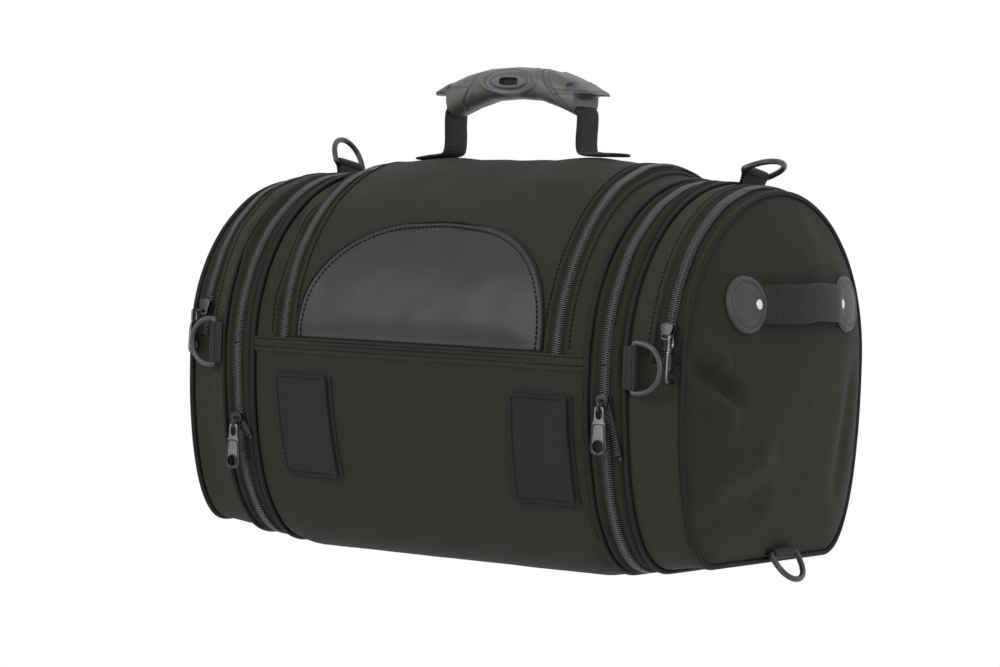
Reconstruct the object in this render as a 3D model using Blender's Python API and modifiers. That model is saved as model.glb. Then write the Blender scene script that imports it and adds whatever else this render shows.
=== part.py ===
"""Expandable roll-type tail bag for a motorcycle seat or rack.

A round-topped centre compartment with a wide zipped lid, an end pocket on each
side that slides outward when its expansion zip is opened, a carry handle on the
lid, a grab handle on each end and six D-rings on webbing loops.
+X is to the bag's right, -Y is its front, the floor is at z = 0.
"""
import math

import bmesh
import bpy
from mathutils import Matrix, Vector

# ---------------------------------------------------------------- driving sizes
LENGTH = 0.432            # over the domed end panels, zips closed
DOME = 0.020              # how far an end panel domes outward past its seam
HALF = LENGTH / 2 - DOME  # seam of the end panel
AXIS_Z = 0.1365           # height of the axis of the round upper half
CENTRE_R = 0.119          # radius of the round upper half, centre compartment
LID_RISE = 0.0065         # how far the carry handle draws the lid's crown up
CORNER_POWER = 2.3        # superellipse power of the two lower corners
GAP = 0.0003              # clearance between pieces that touch
SKIN = 0.003              # fabric and foam wall
TAPE = 0.0012             # zip tape, patch and binding thickness

LID_HALF = 0.1055         # lid zips
BAND_START = 0.1571       # end pocket's wall, from the expansion zip
MAIN_PIPING_X = 0.1337
EXPANSION_ZIP_X = 0.147
END_PIPING_X = 0.1604
END_ZIP_X = 0.1849
SHELL_END = 0.156         # the centre shell runs on under the expansion zip
RECESS = 0.0022           # and is that much smaller there
SLEEVE_INSET = 0.0062     # folded gusset, inside the centre shell
SLEEVE_START = 0.1095     # room for the end pocket to slide out 45 mm

# |x|, radius, bottom height, half width of the flat bottom
STATIONS = (
    (0.0, CENTRE_R, 0.0, 0.055),
    (0.120, CENTRE_R, 0.0, 0.055),
    (MAIN_PIPING_X, CENTRE_R, 0.0048, 0.056),
    (EXPANSION_ZIP_X, CENTRE_R, 0.0060, 0.057),
    (END_PIPING_X, 0.1180, 0.0075, 0.058),
    (0.1790, 0.1107, 0.0110, 0.065),
    (HALF, 0.1090, 0.0134, 0.068),
)
LID_EDGE = 2.5            # degrees above the axis where the lid starts
ARC_STEPS = 18
CORNER_STEPS = 5

WEBBING = 0.0268          # D-ring and grab handle webbing width
WEBBING_THICK = 0.0014
RING_HALF = 0.0154        # D-ring, wire centre line: half its bar
RING_REACH = 0.0194       # and from the bar to the tip
WIRE_R = 0.0016
PIPING_R = 0.002

SIDES = (("left", -1), ("right", 1))


# ---------------------------------------------------------------- scene helpers
def clear_scene():
    for obj in list(bpy.data.objects):
        bpy.data.objects.remove(obj, do_unlink=True)


def new_collection(name):
    collection = bpy.data.collections.new(name)
    bpy.context.scene.collection.children.link(collection)
    return collection


clear_scene()
BAG = new_collection("tail_bag")
CUTTERS = new_collection("cutters")


def material(name, colour, roughness, metallic=0.0):
    mat = bpy.data.materials.new(name)
    mat.use_nodes = True
    shader = mat.node_tree.nodes["Principled BSDF"]
    shader.inputs["Base Color"].default_value = (*colour, 1.0)
    shader.inputs["Roughness"].default_value = roughness
    shader.inputs["Metallic"].default_value = metallic
    return mat


FABRIC = material("bag_fabric", (0.040, 0.040, 0.036), 0.85)
LINING = material("lining", (0.030, 0.030, 0.030), 0.90)
VINYL = material("vinyl", (0.055, 0.056, 0.052), 0.42)
WEB = material("webbing", (0.022, 0.022, 0.021), 0.80)
ZIP = material("zip_coil", (0.025, 0.025, 0.024), 0.45)
METAL = material("zip_metal", (0.30, 0.31, 0.30), 0.35, 1.0)
RING = material("ring_plastic", (0.045, 0.045, 0.044), 0.35)
RUBBER = material("grip_rubber", (0.050, 0.052, 0.052), 0.60)
PIPING = material("piping", (0.028, 0.028, 0.026), 0.60)
LOOP = material("hook_and_loop", (0.030, 0.031, 0.029), 0.95)
BOARD = material("stiffener", (0.050, 0.050, 0.050), 0.60)


def add_object(name, data, mat, collection=None):
    obj = bpy.data.objects.new(name, data)
    if mat is not None:
        data.materials.append(mat)
    (collection or BAG).objects.link(obj)
    return obj


def mesh_object(name, verts, faces, mat, collection=None):
    mesh = bpy.data.meshes.new(name)
    mesh.from_pydata([tuple(v) for v in verts], [], faces)
    mesh.validate()
    return add_object(name, mesh, mat, collection)


def set_origin(obj, point):
    """Move a mesh object's origin onto its joint without moving its surface."""
    obj.data.transform(Matrix.Translation(-Vector(point)))
    obj.location = point


def bevel(obj, width, segments=1):
    mod = obj.modifiers.new("edges", "BEVEL")
    mod.width = width
    mod.segments = segments
    mod.limit_method = "ANGLE"


def cutter(obj):
    for collection in list(obj.users_collection):
        collection.objects.unlink(obj)
    CUTTERS.objects.link(obj)
    obj.hide_render = True
    obj.display_type = "WIRE"
    return obj


def boolean(obj, tool, operation):
    mod = obj.modifiers.new(operation.lower(), "BOOLEAN")
    mod.operation = operation
    mod.solver = "EXACT"
    mod.object = cutter(tool)


# ---------------------------------------------------------------- bag surface
def profile(x):
    """Radius, bottom height and flat half width of the section at x."""
    x = abs(x)
    for low, high in zip(STATIONS, STATIONS[1:]):
        if x <= high[0]:
            t = (x - low[0]) / (high[0] - low[0])
            return [a + (b - a) * t for a, b in zip(low[1:], high[1:])]
    return list(STATIONS[-1][1:])


def arc_angles():
    """Front to back over the top, in degrees, with stops at the lid's edges."""
    span = 180 - 2 * LID_EDGE
    inner = [LID_EDGE + span * i / ARC_STEPS for i in range(ARC_STEPS + 1)]
    return [0.0] + inner + [180.0]


ARC_COUNT = ARC_STEPS + 3


def raw_section(x):
    """Closed outline, from the front over the top and back along the bottom."""
    radius, bottom, flat = profile(x)
    points = []
    for degrees in arc_angles():
        angle = math.radians(degrees)
        points.append((-radius * math.cos(angle), AXIS_Z + radius * math.sin(angle)))
    corner = []
    for i in range(1, CORNER_STEPS + 1):
        angle = math.pi / 2 * i / CORNER_STEPS
        across = max(math.cos(angle), 0.0) ** (2 / CORNER_POWER)
        down = math.sin(angle) ** (2 / CORNER_POWER)
        corner.append((flat + (radius - flat) * across, AXIS_Z - (AXIS_Z - bottom) * down))
    points += corner
    points.append((0.0, bottom))
    points += [(-y, z) for y, z in reversed(corner)]
    return points


def section(x, offset=0.0):
    """The outline at x moved outward by offset (inward when negative)."""
    points = [Vector(p) for p in raw_section(x)]
    moved = []
    for i, point in enumerate(points):
        along = (points[(i + 1) % len(points)] - points[i - 1]).normalized()
        moved.append(point + Vector((-along.y, along.x)) * offset)
    return [Vector((x, p.x, p.y)) for p in moved]


def front_point(x, z, offset=0.0):
    """Point on the front face at height z, moved outward by offset."""
    def depth(height):
        radius, bottom, flat = profile(x)
        if height >= AXIS_Z:
            return -math.sqrt(radius ** 2 - (height - AXIS_Z) ** 2)
        down = (AXIS_Z - height) / (AXIS_Z - bottom)
        across = (1 - down ** CORNER_POWER) ** (1 / CORNER_POWER)
        return -(flat + (radius - flat) * across)
    step = 0.0005
    slope = (depth(z + step) - depth(z - step)) / (2 * step)
    normal = Vector((0, -1, slope)).normalized()
    return Vector((x, depth(z), z)) + normal * offset


def lid_point(x, degrees, offset=0.0):
    """Point on the lid, degrees from the front, moved outward by offset."""
    angle = math.radians(degrees)
    radius = CENTRE_R + LID_RISE * math.sin(angle) ** 2 + offset
    return Vector((x, -radius * math.cos(angle), AXIS_Z + radius * math.sin(angle)))


def dome_scale(y, z):
    """0 at the middle of an end panel, 1 at its seam."""
    radius, bottom, _ = profile(HALF)
    if z >= AXIS_Z:
        return math.hypot(y, z - AXIS_Z) / radius
    return max(abs(y) / radius, (AXIS_Z - z) / (AXIS_Z - bottom))


def dome_point(y, z, offset=0.0):
    return Vector((HALF + DOME * (1 - dome_scale(y, z) ** 2) + offset, y, z))


# ---------------------------------------------------------------- shape makers
def spread(low, high, steps):
    return [low + (high - low) * i / steps for i in range(steps + 1)]


def box(xs, ys, zs):
    verts = [Vector((x, y, z)) for x in xs for y in ys for z in zs]
    faces = [(0, 1, 3, 2), (4, 6, 7, 5), (0, 4, 5, 1), (2, 3, 7, 6), (0, 2, 6, 4), (1, 5, 7, 3)]
    return verts, faces


def grid(rows, closed=False, skip=None):
    """Faces over rows of points; their normals face outward on the bag."""
    count = len(rows[0])
    faces = []
    for i in range(len(rows) - 1):
        for j in range(count if closed else count - 1):
            if skip and skip(i, j):
                continue
            k = (j + 1) % count
            faces.append((i * count + j, (i + 1) * count + j, (i + 1) * count + k, i * count + k))
    return [p for row in rows for p in row], faces


def skin(name, verts, faces, thickness, mat, side=1):
    """An open surface thickened inward; side -1 mirrors it to the left."""
    if side < 0:
        verts = [Vector((-v.x, v.y, v.z)) for v in verts]
        faces = [tuple(reversed(face)) for face in faces]
    used = sorted({i for face in faces for i in face})
    index = {old: new for new, old in enumerate(used)}
    faces = [tuple(index[i] for i in face) for face in faces]
    obj = mesh_object(name, [verts[i] for i in used], faces, mat)
    mod = obj.modifiers.new("wall", "SOLIDIFY")
    mod.thickness = thickness
    mod.offset = -1.0
    mod.use_even_offset = True
    return obj


def sweep(name, frames, corners, mat, collection=None):
    """A closed bar: the corner outline carried along (origin, a, b) frames."""
    count = len(corners)
    verts = [o + a * u + b * v for o, a, b in frames for u, v in corners]
    faces = []
    for i in range(len(frames) - 1):
        for j in range(count):
            k = (j + 1) % count
            faces.append((i * count + j, i * count + k, (i + 1) * count + k, (i + 1) * count + j))
    faces.append(tuple(reversed(range(count))))
    faces.append(tuple(range(len(verts) - count, len(verts))))
    obj = mesh_object(name, verts, faces, mat, collection)
    mesh = bmesh.new()
    mesh.from_mesh(obj.data)
    bmesh.ops.recalc_face_normals(mesh, faces=mesh.faces)
    mesh.to_mesh(obj.data)
    mesh.free()
    return obj


def ribbon_corners(width, thickness):
    w, t = width / 2, thickness / 2
    return [(-w, -t), (w, -t), (w, t), (-w, t)]


def outline_plate(name, outlines, thickness, mat, matrix):
    """A flat plate from closed 2D outlines; later outlines are holes."""
    curve = bpy.data.curves.new(name, "CURVE")
    curve.dimensions = "2D"
    curve.fill_mode = "BOTH"
    curve.extrude = thickness / 2
    curve.render_resolution_u = 0
    for outline in outlines:
        spline = curve.splines.new("POLY")
        spline.points.add(len(outline) - 1)
        for point, (u, v) in zip(spline.points, outline):
            point.co = (u, v, 0, 1)
        spline.use_cyclic_u = True
    obj = add_object(name, curve, mat)
    obj.matrix_world = matrix
    return obj


def wire(name, points, radius, mat, matrix=None, resolution=1):
    """A closed wire through the points."""
    curve = bpy.data.curves.new(name, "CURVE")
    curve.dimensions = "3D"
    curve.bevel_depth = radius
    curve.bevel_resolution = resolution
    curve.use_fill_caps = True
    curve.render_resolution_u = 0
    spline = curve.splines.new("POLY")
    spline.points.add(len(points) - 1)
    for point, co in zip(spline.points, points):
        point.co = (*co, 1)
    spline.use_cyclic_u = True
    obj = add_object(name, curve, mat)
    if matrix is not None:
        obj.matrix_world = matrix
    return obj


def frame_matrix(origin, u, v):
    """World matrix with local X along u, local Y along v."""
    u = Vector(u).normalized()
    w = u.cross(Vector(v)).normalized()
    v = w.cross(u)
    matrix = Matrix((u, v, w)).transposed().to_4x4()
    matrix.translation = Vector(origin)
    return matrix


def circle(centre, radius, count, start=0.0, sweep_angle=360.0):
    steps = count if sweep_angle == 360.0 else count - 1
    angles = [math.radians(start + sweep_angle * i / steps) for i in range(count)]
    return [(centre[0] + radius * math.cos(a), centre[1] + radius * math.sin(a)) for a in angles]


# ---------------------------------------------------------------- centre body
OPENING_HALF = LID_HALF + GAP
STEP_X = MAIN_PIPING_X + 0.0015


def main_shell():
    """The centre's wall, open under the lid and stepped in at both ends."""
    xs = (OPENING_HALF, 0.120, MAIN_PIPING_X, STEP_X, EXPANSION_ZIP_X, SHELL_END)
    xs = [-x for x in reversed(xs)] + list(xs)
    rows = [section(x, -RECESS if abs(x) >= STEP_X else 0.0) for x in xs]

    def in_opening(i, j):
        return max(abs(xs[i]), abs(xs[i + 1])) <= OPENING_HALF and 1 <= j <= ARC_STEPS

    skin("main_shell", *grid(rows, closed=True, skip=in_opening), SKIN, FABRIC)


BOARD_HALF_X, BOARD_HALF_Y = 0.106, 0.050
BOARD_THICK = 0.0025


def base_board():
    """Stiffener lying on the bottom, inside."""
    low = SKIN + 0.0005
    spans = ((-BOARD_HALF_X, BOARD_HALF_X), (-BOARD_HALF_Y, BOARD_HALF_Y), (low, low + BOARD_THICK))
    bevel(mesh_object("base_board", *box(*spans), BOARD), 0.0008)


def front_patch(name, xs, zs, inner, thickness, mat):
    """A strip on the front face, its inner side that far off the fabric."""
    rows = [[front_point(x, z, inner + thickness) for z in zs] for x in xs]
    return skin(name, *grid(rows), thickness, mat)


FRONT_BAND = (0.1310, 0.1412)
FRONT_BAND_HALF = 0.1308
ZIP_WALL = 0.0015


def front_band():
    """Doubled seam across the front that the lid folds about."""
    xs = spread(-FRONT_BAND_HALF, FRONT_BAND_HALF, 2)
    front_patch("front_band", xs, spread(*FRONT_BAND, 2), GAP, 0.001, FABRIC)


def piping(name, x, side):
    wire(name, section(side * x, PIPING_R + GAP), PIPING_R, PIPING)


def expansion_gusset(name, side):
    """The gusset's folded fabric, kept inside the centre shell when closed."""
    ring = section(SHELL_END, -SLEEVE_INSET)
    rows = [[Vector((x, p.y, p.z)) for p in ring] for x in (SLEEVE_START, END_PIPING_X - 0.0004)]
    skin(name, *grid(rows, closed=True), ZIP_WALL, FABRIC, side)


def expansion_zip(name, side):
    xs = (MAIN_PIPING_X + 0.0024, EXPANSION_ZIP_X, BAND_START - GAP)
    skin(name, *grid([section(x) for x in xs], closed=True), ZIP_WALL, ZIP, side)


# ---------------------------------------------------------------- lid
LID_START = LID_EDGE + 0.3
LID_HINGE = (0.0, -(CENTRE_R + 0.0016), 0.1419)


def lid_panel():
    angles = spread(LID_START, 180 - LID_START, ARC_STEPS)
    rows = [[lid_point(x, a) for a in angles] for x in spread(-LID_HALF, LID_HALF, 3)]
    lid = skin("lid_panel", *grid(rows), SKIN, FABRIC)
    set_origin(lid, LID_HINGE)


PANEL_HALF = 0.100
PANEL_SPAN = (4.0, 44.0)  # degrees up the lid
PANEL_POWER = 2.4
LID_ZIP_OUTER = 0.1135
REAR_TAPE = 3.2           # degrees of zip tape below the lid's rear edge


def lid_front_panel():
    """Half-oval vinyl panel sewn on the lid's front."""
    low, high = PANEL_SPAN
    rows = []
    for fraction in spread(-1, 1, 6):
        row = []
        for t in (0.0, 0.2, 0.4, 0.6, 0.75, 0.88, 0.96, 0.995):
            reach = PANEL_HALF * (1 - t ** PANEL_POWER) ** (1 / PANEL_POWER)
            row.append(lid_point(fraction * reach, low + (high - low) * t, TAPE + 2 * GAP))
        rows.append(row)
    panel = skin("lid_front_panel", *grid(rows), TAPE, VINYL)
    set_origin(panel, LID_HINGE)


def lid_zip():
    """Zip tape and coil along the shell's side of the opening, a U from the front."""
    inner = LID_HALF + 0.0008
    xs = [-LID_ZIP_OUTER, -inner, -0.05, 0.05, inner, LID_ZIP_OUTER]
    radius = CENTRE_R + TAPE + GAP
    rows = [[] for _ in xs]
    for degrees in arc_angles()[1:-1] + [180 - LID_EDGE + REAR_TAPE]:
        angle = math.radians(degrees)
        for x, row in zip(xs, rows):
            row.append(Vector((x, -radius * math.cos(angle), AXIS_Z + radius * math.sin(angle))))

    def inside_opening(i, j):
        return 1 <= i <= 3 and j < ARC_STEPS

    skin("lid_zip", *grid(rows, skip=inside_opening), TAPE, ZIP)


# ---------------------------------------------------------------- carry handle
HANDLE_X = -0.007
HANDLE_WIDTH = 0.025
LEG_HALF = 0.0535
LEG_THICK = 0.0025
LEG_FOOT, LEG_SHOULDER, STRAP_TOP = 0.2725, 0.2985, 0.3130
HANDLE_PIVOT_Z = 0.277
TAB_TOP, TAB_END = 0.2800, 0.085
LID_TOP = AXIS_Z + CENTRE_R + LID_RISE
GRIP_HALF = 0.071

# share of the half length, top, underside, half width
GRIP_STATIONS = (
    (0.0, 0.3260, 0.3040, 0.0160),
    (0.30, 0.3248, 0.3026, 0.0162),
    (0.55, 0.3212, 0.2972, 0.0160),
    (0.78, 0.3160, 0.2902, 0.0150),
    (0.815, 0.3152, 0.2912, 0.0146),
    (0.85, 0.3136, 0.3060, 0.0138),
    (1.0, 0.3080, 0.3066, 0.0080),
)
GRIP_STEPS = (0.0, 0.15, 0.30, 0.43, 0.55, 0.67, 0.78, 0.815, 0.85, 0.93, 1.0)


def handle_tab(name, side):
    """Webbing tail sewn on the lid, turned up beside the handle's leg."""
    face = LEG_HALF + LEG_THICK / 2 + GAP + TAPE
    rest = LID_TOP + TAPE + GAP + 0.0004
    path = [(face, TAB_TOP), (face, rest + TAPE), (face + TAPE, rest), (TAB_END, rest)]
    placed = [Vector((HANDLE_X + side * x, 0, z)) for x, z in path]
    sweep(name, strap_frames(placed), ribbon_corners(HANDLE_WIDTH, 2 * TAPE), WEB)


def strap_frames(path):
    """Frames for a strap in the XZ plane whose width lies along Y."""
    frames = []
    for i, point in enumerate(path):
        along = Vector((0, 0, 0))
        if i > 0:
            along += (point - path[i - 1]).normalized()
        if i < len(path) - 1:
            along += (path[i + 1] - point).normalized()
        along.normalize()
        stretch = 1.0
        if 0 < i < len(path) - 1:
            stretch = 1 / max(along.dot((path[i + 1] - point).normalized()), 0.5)
        across = Vector((0, 1, 0)).cross(along) * stretch
        frames.append((point, Vector((0, 1, 0)), across))
    return frames


def handle_path():
    """Up one leg, along inside the grip and down the other leg."""
    path = [(-LEG_HALF, LEG_FOOT), (-LEG_HALF, LEG_SHOULDER)]
    for i in range(1, 8):
        rise = math.sin(math.pi * i / 8) ** 0.6
        path.append((LEG_HALF * (i / 4 - 1), LEG_SHOULDER + (STRAP_TOP - LEG_SHOULDER) * rise))
    path += [(LEG_HALF, LEG_SHOULDER), (LEG_HALF, LEG_FOOT)]
    return [Vector((HANDLE_X + x, 0, z)) for x, z in path]


def handle_webbing():
    strap = sweep("handle_webbing", strap_frames(handle_path()),
                  ribbon_corners(HANDLE_WIDTH, LEG_THICK), WEB)
    set_origin(strap, (HANDLE_X, 0, HANDLE_PIVOT_Z))


def grip_station(share):
    """Top, underside and half width of the grip at that share of its half length."""
    for low, high in zip(GRIP_STATIONS, GRIP_STATIONS[1:]):
        if share <= high[0]:
            t = (share - low[0]) / (high[0] - low[0])
            return [a + (b - a) * t for a, b in zip(low[1:], high[1:])]
    return list(GRIP_STATIONS[-1][1:])


def handle_grip():
    """Arched moulded grip with thin end flanges, slotted for the webbing."""
    frames = []
    for share in [-t for t in reversed(GRIP_STEPS[1:])] + list(GRIP_STEPS):
        top, under, wide = grip_station(abs(share))
        centre = Vector((HANDLE_X + share * GRIP_HALF, 0, (top + under) / 2))
        frames.append((centre, Vector((0, wide, 0)), Vector((0, 0, (top - under) / 2))))
    corners = [(math.cos(a), math.sin(a)) for a in spread(0, 2 * math.pi, 14)[:-1]]
    grip = sweep("handle_grip", frames, corners, RUBBER)
    channel = sweep("grip_channel", strap_frames(handle_path()),
                    ribbon_corners(HANDLE_WIDTH + 2 * GAP, LEG_THICK + 2 * GAP), None)
    boolean(grip, channel, "DIFFERENCE")


# ---------------------------------------------------------------- end pockets
LIP_START = 0.1874        # door side of the end-pocket zip
BAND_END = 0.1823
SPLIT = 0.0006            # half the gap along the door's fold line
DOME_RINGS = (0.82, 0.62, 0.40, 0.18)


DIVIDER_X, DIVIDER_THICK = 0.1616, 0.002


def divider(name, side):
    """Padded wall between the centre compartment and the end pocket."""
    outline = [(p.y, p.z) for p in section(DIVIDER_X + DIVIDER_THICK / 2, -SKIN - 0.0012)]
    matrix = frame_matrix((side * DIVIDER_X, 0, 0), (0, 1, 0), (0, 0, 1))
    outline_plate(name, [outline], DIVIDER_THICK, LINING, matrix)


def end_band(name, side):
    rows = [section(x) for x in (BAND_START, END_PIPING_X, 0.172, BAND_END)]
    skin(name, *grid(rows, closed=True), SKIN, FABRIC, side)


def dome_rows(start, stop, lip_x, shift):
    """Rows from the lip over the seam towards the middle of the end panel."""
    def pick(points):
        ring = (points + points)[start:stop + 1]
        return [p + Vector((0, 0, shift)) for p in ring]
    rows = [pick(section(lip_x)), pick(section(HALF))]
    rim = rows[-1]
    centre = Vector((HALF, 0, AXIS_Z + shift))
    for scale in DOME_RINGS:
        rows.append([centre + (p - centre) * scale + Vector((DOME * (1 - scale ** 2), 0, 0)) for p in rim])
    return rows, centre + Vector((DOME, 0, 0))


def dome_piece(name, start, stop, lip_x, shift, side):
    rows, middle = dome_rows(start, stop, lip_x, shift)
    verts, faces = grid(rows)
    count = len(rows[0])
    first = (len(rows) - 1) * count
    verts.append(middle)
    faces += [(first + j, len(verts) - 1, first + j + 1) for j in range(count - 1)]
    return skin(name, verts, faces, SKIN, FABRIC, side)


DOOR_HINGE_X = LENGTH / 2 + 0.0005


def end_door(name, side):
    door = dome_piece(name, 0, ARC_COUNT - 1, LIP_START, SPLIT, side)
    set_origin(door, (side * DOOR_HINGE_X, 0, AXIS_Z))


def end_panel(name, side):
    ring = len(section(HALF))
    dome_piece(name, ARC_COUNT - 1, ring, BAND_END + GAP, -SPLIT, side)


def end_zip(name, side):
    xs = (BAND_END + GAP, END_ZIP_X, LIP_START - GAP)
    rows = [[p + Vector((0, 0, SPLIT)) for p in section(x)[:ARC_COUNT]] for x in xs]
    skin(name, *grid(rows), ZIP_WALL, ZIP, side)


PATCH_Y, PATCH_Z, PATCH_R = 0.0615, 0.176, 0.0187
STRAP_LIFT, STRAP_BOW, STRAP_THICK = 0.0030, 0.0115, 0.0022


def end_patch(name, side, y_side):
    """Round leather patch that follows the domed panel."""
    rings = (1.0, 0.66, 0.33)
    count = 20
    verts, faces = [], []
    for ring in rings:
        for i in range(count):
            angle = 2 * math.pi * i / count
            y = y_side * PATCH_Y + PATCH_R * ring * math.cos(angle)
            z = PATCH_Z + PATCH_R * ring * math.sin(angle)
            verts.append(dome_point(y, z, TAPE + 2 * GAP))
    for r in range(len(rings) - 1):
        for i in range(count):
            k = (i + 1) % count
            faces.append((r * count + i, r * count + k, (r + 1) * count + k, (r + 1) * count + i))
    last = (len(rings) - 1) * count
    verts.append(dome_point(y_side * PATCH_Y, PATCH_Z, TAPE + 2 * GAP))
    faces += [(last + i, last + (i + 1) % count, len(verts) - 1) for i in range(count)]
    skin(name, verts, faces, TAPE, VINYL, side)


def end_handle(name, side):
    """Grab strap that bows out between the two patches."""
    half = PATCH_Y - PATCH_R - 0.001
    frames = []
    for y in spread(-half, half, 12):
        lift = STRAP_LIFT + STRAP_BOW * max(1 - (y / half) ** 2, 0.0) ** 0.7
        point = dome_point(y, PATCH_Z, lift)
        low = dome_point(y, PATCH_Z - WEBBING / 2, lift)
        high = dome_point(y, PATCH_Z + WEBBING / 2, lift)
        up = (high - low).normalized()
        out = Vector((0, 1, 0)).cross(up)
        frames.append([Vector((side * v.x, v.y, v.z)) for v in (point, up, out)])
    sweep(name, frames, ribbon_corners(WEBBING, STRAP_THICK), WEB)


# ---------------------------------------------------------------- D-rings
RING_SQUARE = 0.75        # below 1 fills out the ring's corners
LOOP_EYE = 0.0033         # outer radius of the webbing round the bar


def d_ring_points():
    """The straight bar, then the bow from one end of it to the other."""
    bow = []
    for degrees in spread(-84, 84, 14):
        angle = math.radians(degrees)
        bow.append((RING_REACH * math.cos(angle) ** RING_SQUARE, RING_HALF * math.sin(angle), 0.0))
    return [(0.0, -RING_HALF, 0.0)] + bow + [(0.0, RING_HALF, 0.0)]


def loop_outline(tail):
    """Webbing folded round the ring's bar: a tail and an eye."""
    start = 180 - math.degrees(math.asin(WEBBING_THICK / LOOP_EYE))
    outer = circle((0, 0), LOOP_EYE, 13, -start, 2 * start)
    return [(-tail, -WEBBING_THICK)] + outer + [(-tail, WEBBING_THICK)]


def d_ring(name, pivot, bar, reach):
    """A ring hanging from pivot: its bar lies along bar, its tip towards reach."""
    matrix = frame_matrix(pivot, reach, bar)
    wire("d_ring_" + name, d_ring_points(), WIRE_R, RING, matrix)


def ring_loop(name, pivot, bar, along, tail):
    normal = Vector(bar).cross(Vector(along))
    matrix = frame_matrix(pivot, along, normal)
    hole = circle((0, 0), WIRE_R + 0.0005, 12)
    outline_plate("ring_loop_" + name, [loop_outline(tail), hole], WEBBING, WEB, matrix)


FRONT_RING = (0.1675, -0.1202, 0.136)
TOP_RING = (0.166, 0.018, 0.2585)
TOP_ROLL = 9.0            # degrees; the top rings sit a little behind the crown
BOTTOM_RING = (0.2038, 0.005, 0.018)
BOTTOM_TILT = 35.5        # degrees the bottom rings lean out, tips just off the floor
TOP_LEAN = {"right": 22.0, "left": 66.0}
TOP_LOOP = (0.20, 0.0, 0.98)
FRONT_TAIL, TOP_TAIL, BOTTOM_TAIL = 0.0042, 0.0055, 0.0045


def rings(name, side):
    upright, crosswise, outward = (0, 0, 1), (0, 1, 0), (side, 0, 0)
    x, y, z = FRONT_RING
    pivot = (side * x, y, z)
    d_ring("front_" + name, pivot, upright, outward)
    ring_loop("front_" + name, pivot, upright, outward, FRONT_TAIL)

    x, y, z = TOP_RING
    pivot = (side * x, y, z)
    lean = math.radians(TOP_LEAN[name])
    roll = Matrix.Rotation(-math.radians(TOP_ROLL), 3, "X")
    bar = roll @ Vector(crosswise)
    d_ring("top_" + name, pivot, bar, roll @ Vector((side * math.cos(lean), 0, math.sin(lean))))
    ring_loop("top_" + name, pivot, bar, roll @ Vector((side * TOP_LOOP[0], 0, TOP_LOOP[2])), TOP_TAIL)

    x, y, z = BOTTOM_RING
    pivot = (side * x, y, z)
    tilt = math.radians(BOTTOM_TILT)
    d_ring("bottom_" + name, pivot, crosswise, (side * math.sin(tilt), 0, -math.cos(tilt)))
    ring_loop("bottom_" + name, pivot, crosswise, outward, BOTTOM_TAIL)


# ---------------------------------------------------------------- zip sliders
SLIDER = (0.0095, 0.0040, 0.0105)
EYE_OUT = 0.0056          # pull's axis, out from the slider's base
EYE_DOWN = 0.002          # and below its middle


def slider_body(name, base, normal, up):
    """Slider body on its zip; base is the middle of its back."""
    matrix = frame_matrix(base, Vector(normal).cross(Vector(up)), normal)
    width, height, length = SLIDER
    verts, faces = box((-width / 2, width / 2), (0, height), (-length / 2, length / 2))
    body = mesh_object(name, verts, faces, METAL)
    body.matrix_world = matrix
    bevel(body, 0.0012)
    return body, matrix


def slider(name, base, normal, up):
    """Slider with a ring for its pull; returns the pull's pivot."""
    body, matrix = slider_body(name, base, normal, up)
    seat = matrix @ Matrix.Translation((0, EYE_OUT, -EYE_DOWN))
    bpy.ops.mesh.primitive_torus_add(major_radius=0.0024, minor_radius=0.0008,
                                     major_segments=16, minor_segments=6)
    eye = bpy.context.object
    eye.name = name + "_eye"
    eye.matrix_world = seat @ Matrix.Rotation(math.pi / 2, 4, "Y")
    boolean(body, eye, "UNION")
    return seat.translation


def mirrored(half_outline):
    """A closed outline from its right half, given from the bottom up."""
    return [(-u, v) for u, v in reversed(half_outline)] + list(half_outline)


PULL_THICK = 0.0014
PULL_HALF = ((0.0034, -0.0285), (0.0054, -0.0262), (0.0056, -0.0230), (0.0048, -0.0160),
             (0.0040, -0.0085), (0.0040, 0.0007))
PULL_WINDOW = ((0.0027, -0.0064), (0.0027, -0.0007))
PULL_HOLE = ((0, -0.0232), 0.0033)


def pull(name, pivot, across, down):
    """Flat zip pull: a window round the slider's eye, a tab with a hole."""
    outlines = [mirrored(PULL_HALF), mirrored(PULL_WINDOW), circle(*PULL_HOLE, 12)]
    outline_plate(name, outlines, PULL_THICK, METAL, frame_matrix(pivot, across, -Vector(down)))


EXPANSION_SLIDER_Z = (0.0845, 0.1130)
END_SLIDER_DEGREES = 11.3
END_PULL_X = 0.1906
END_PULL_HALF = ((0.0020, -0.0262), (0.0034, -0.0240), (0.0034, -0.0090), (0.0022, -0.0060),
                 (0.0022, 0.0022))
END_PULL_EYE = ((0, 0), 0.0013)
END_PULL_HOLE = ((0, -0.0222), 0.0017)
PIN_R, PIN_LENGTH = 0.0009, 0.0080


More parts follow.
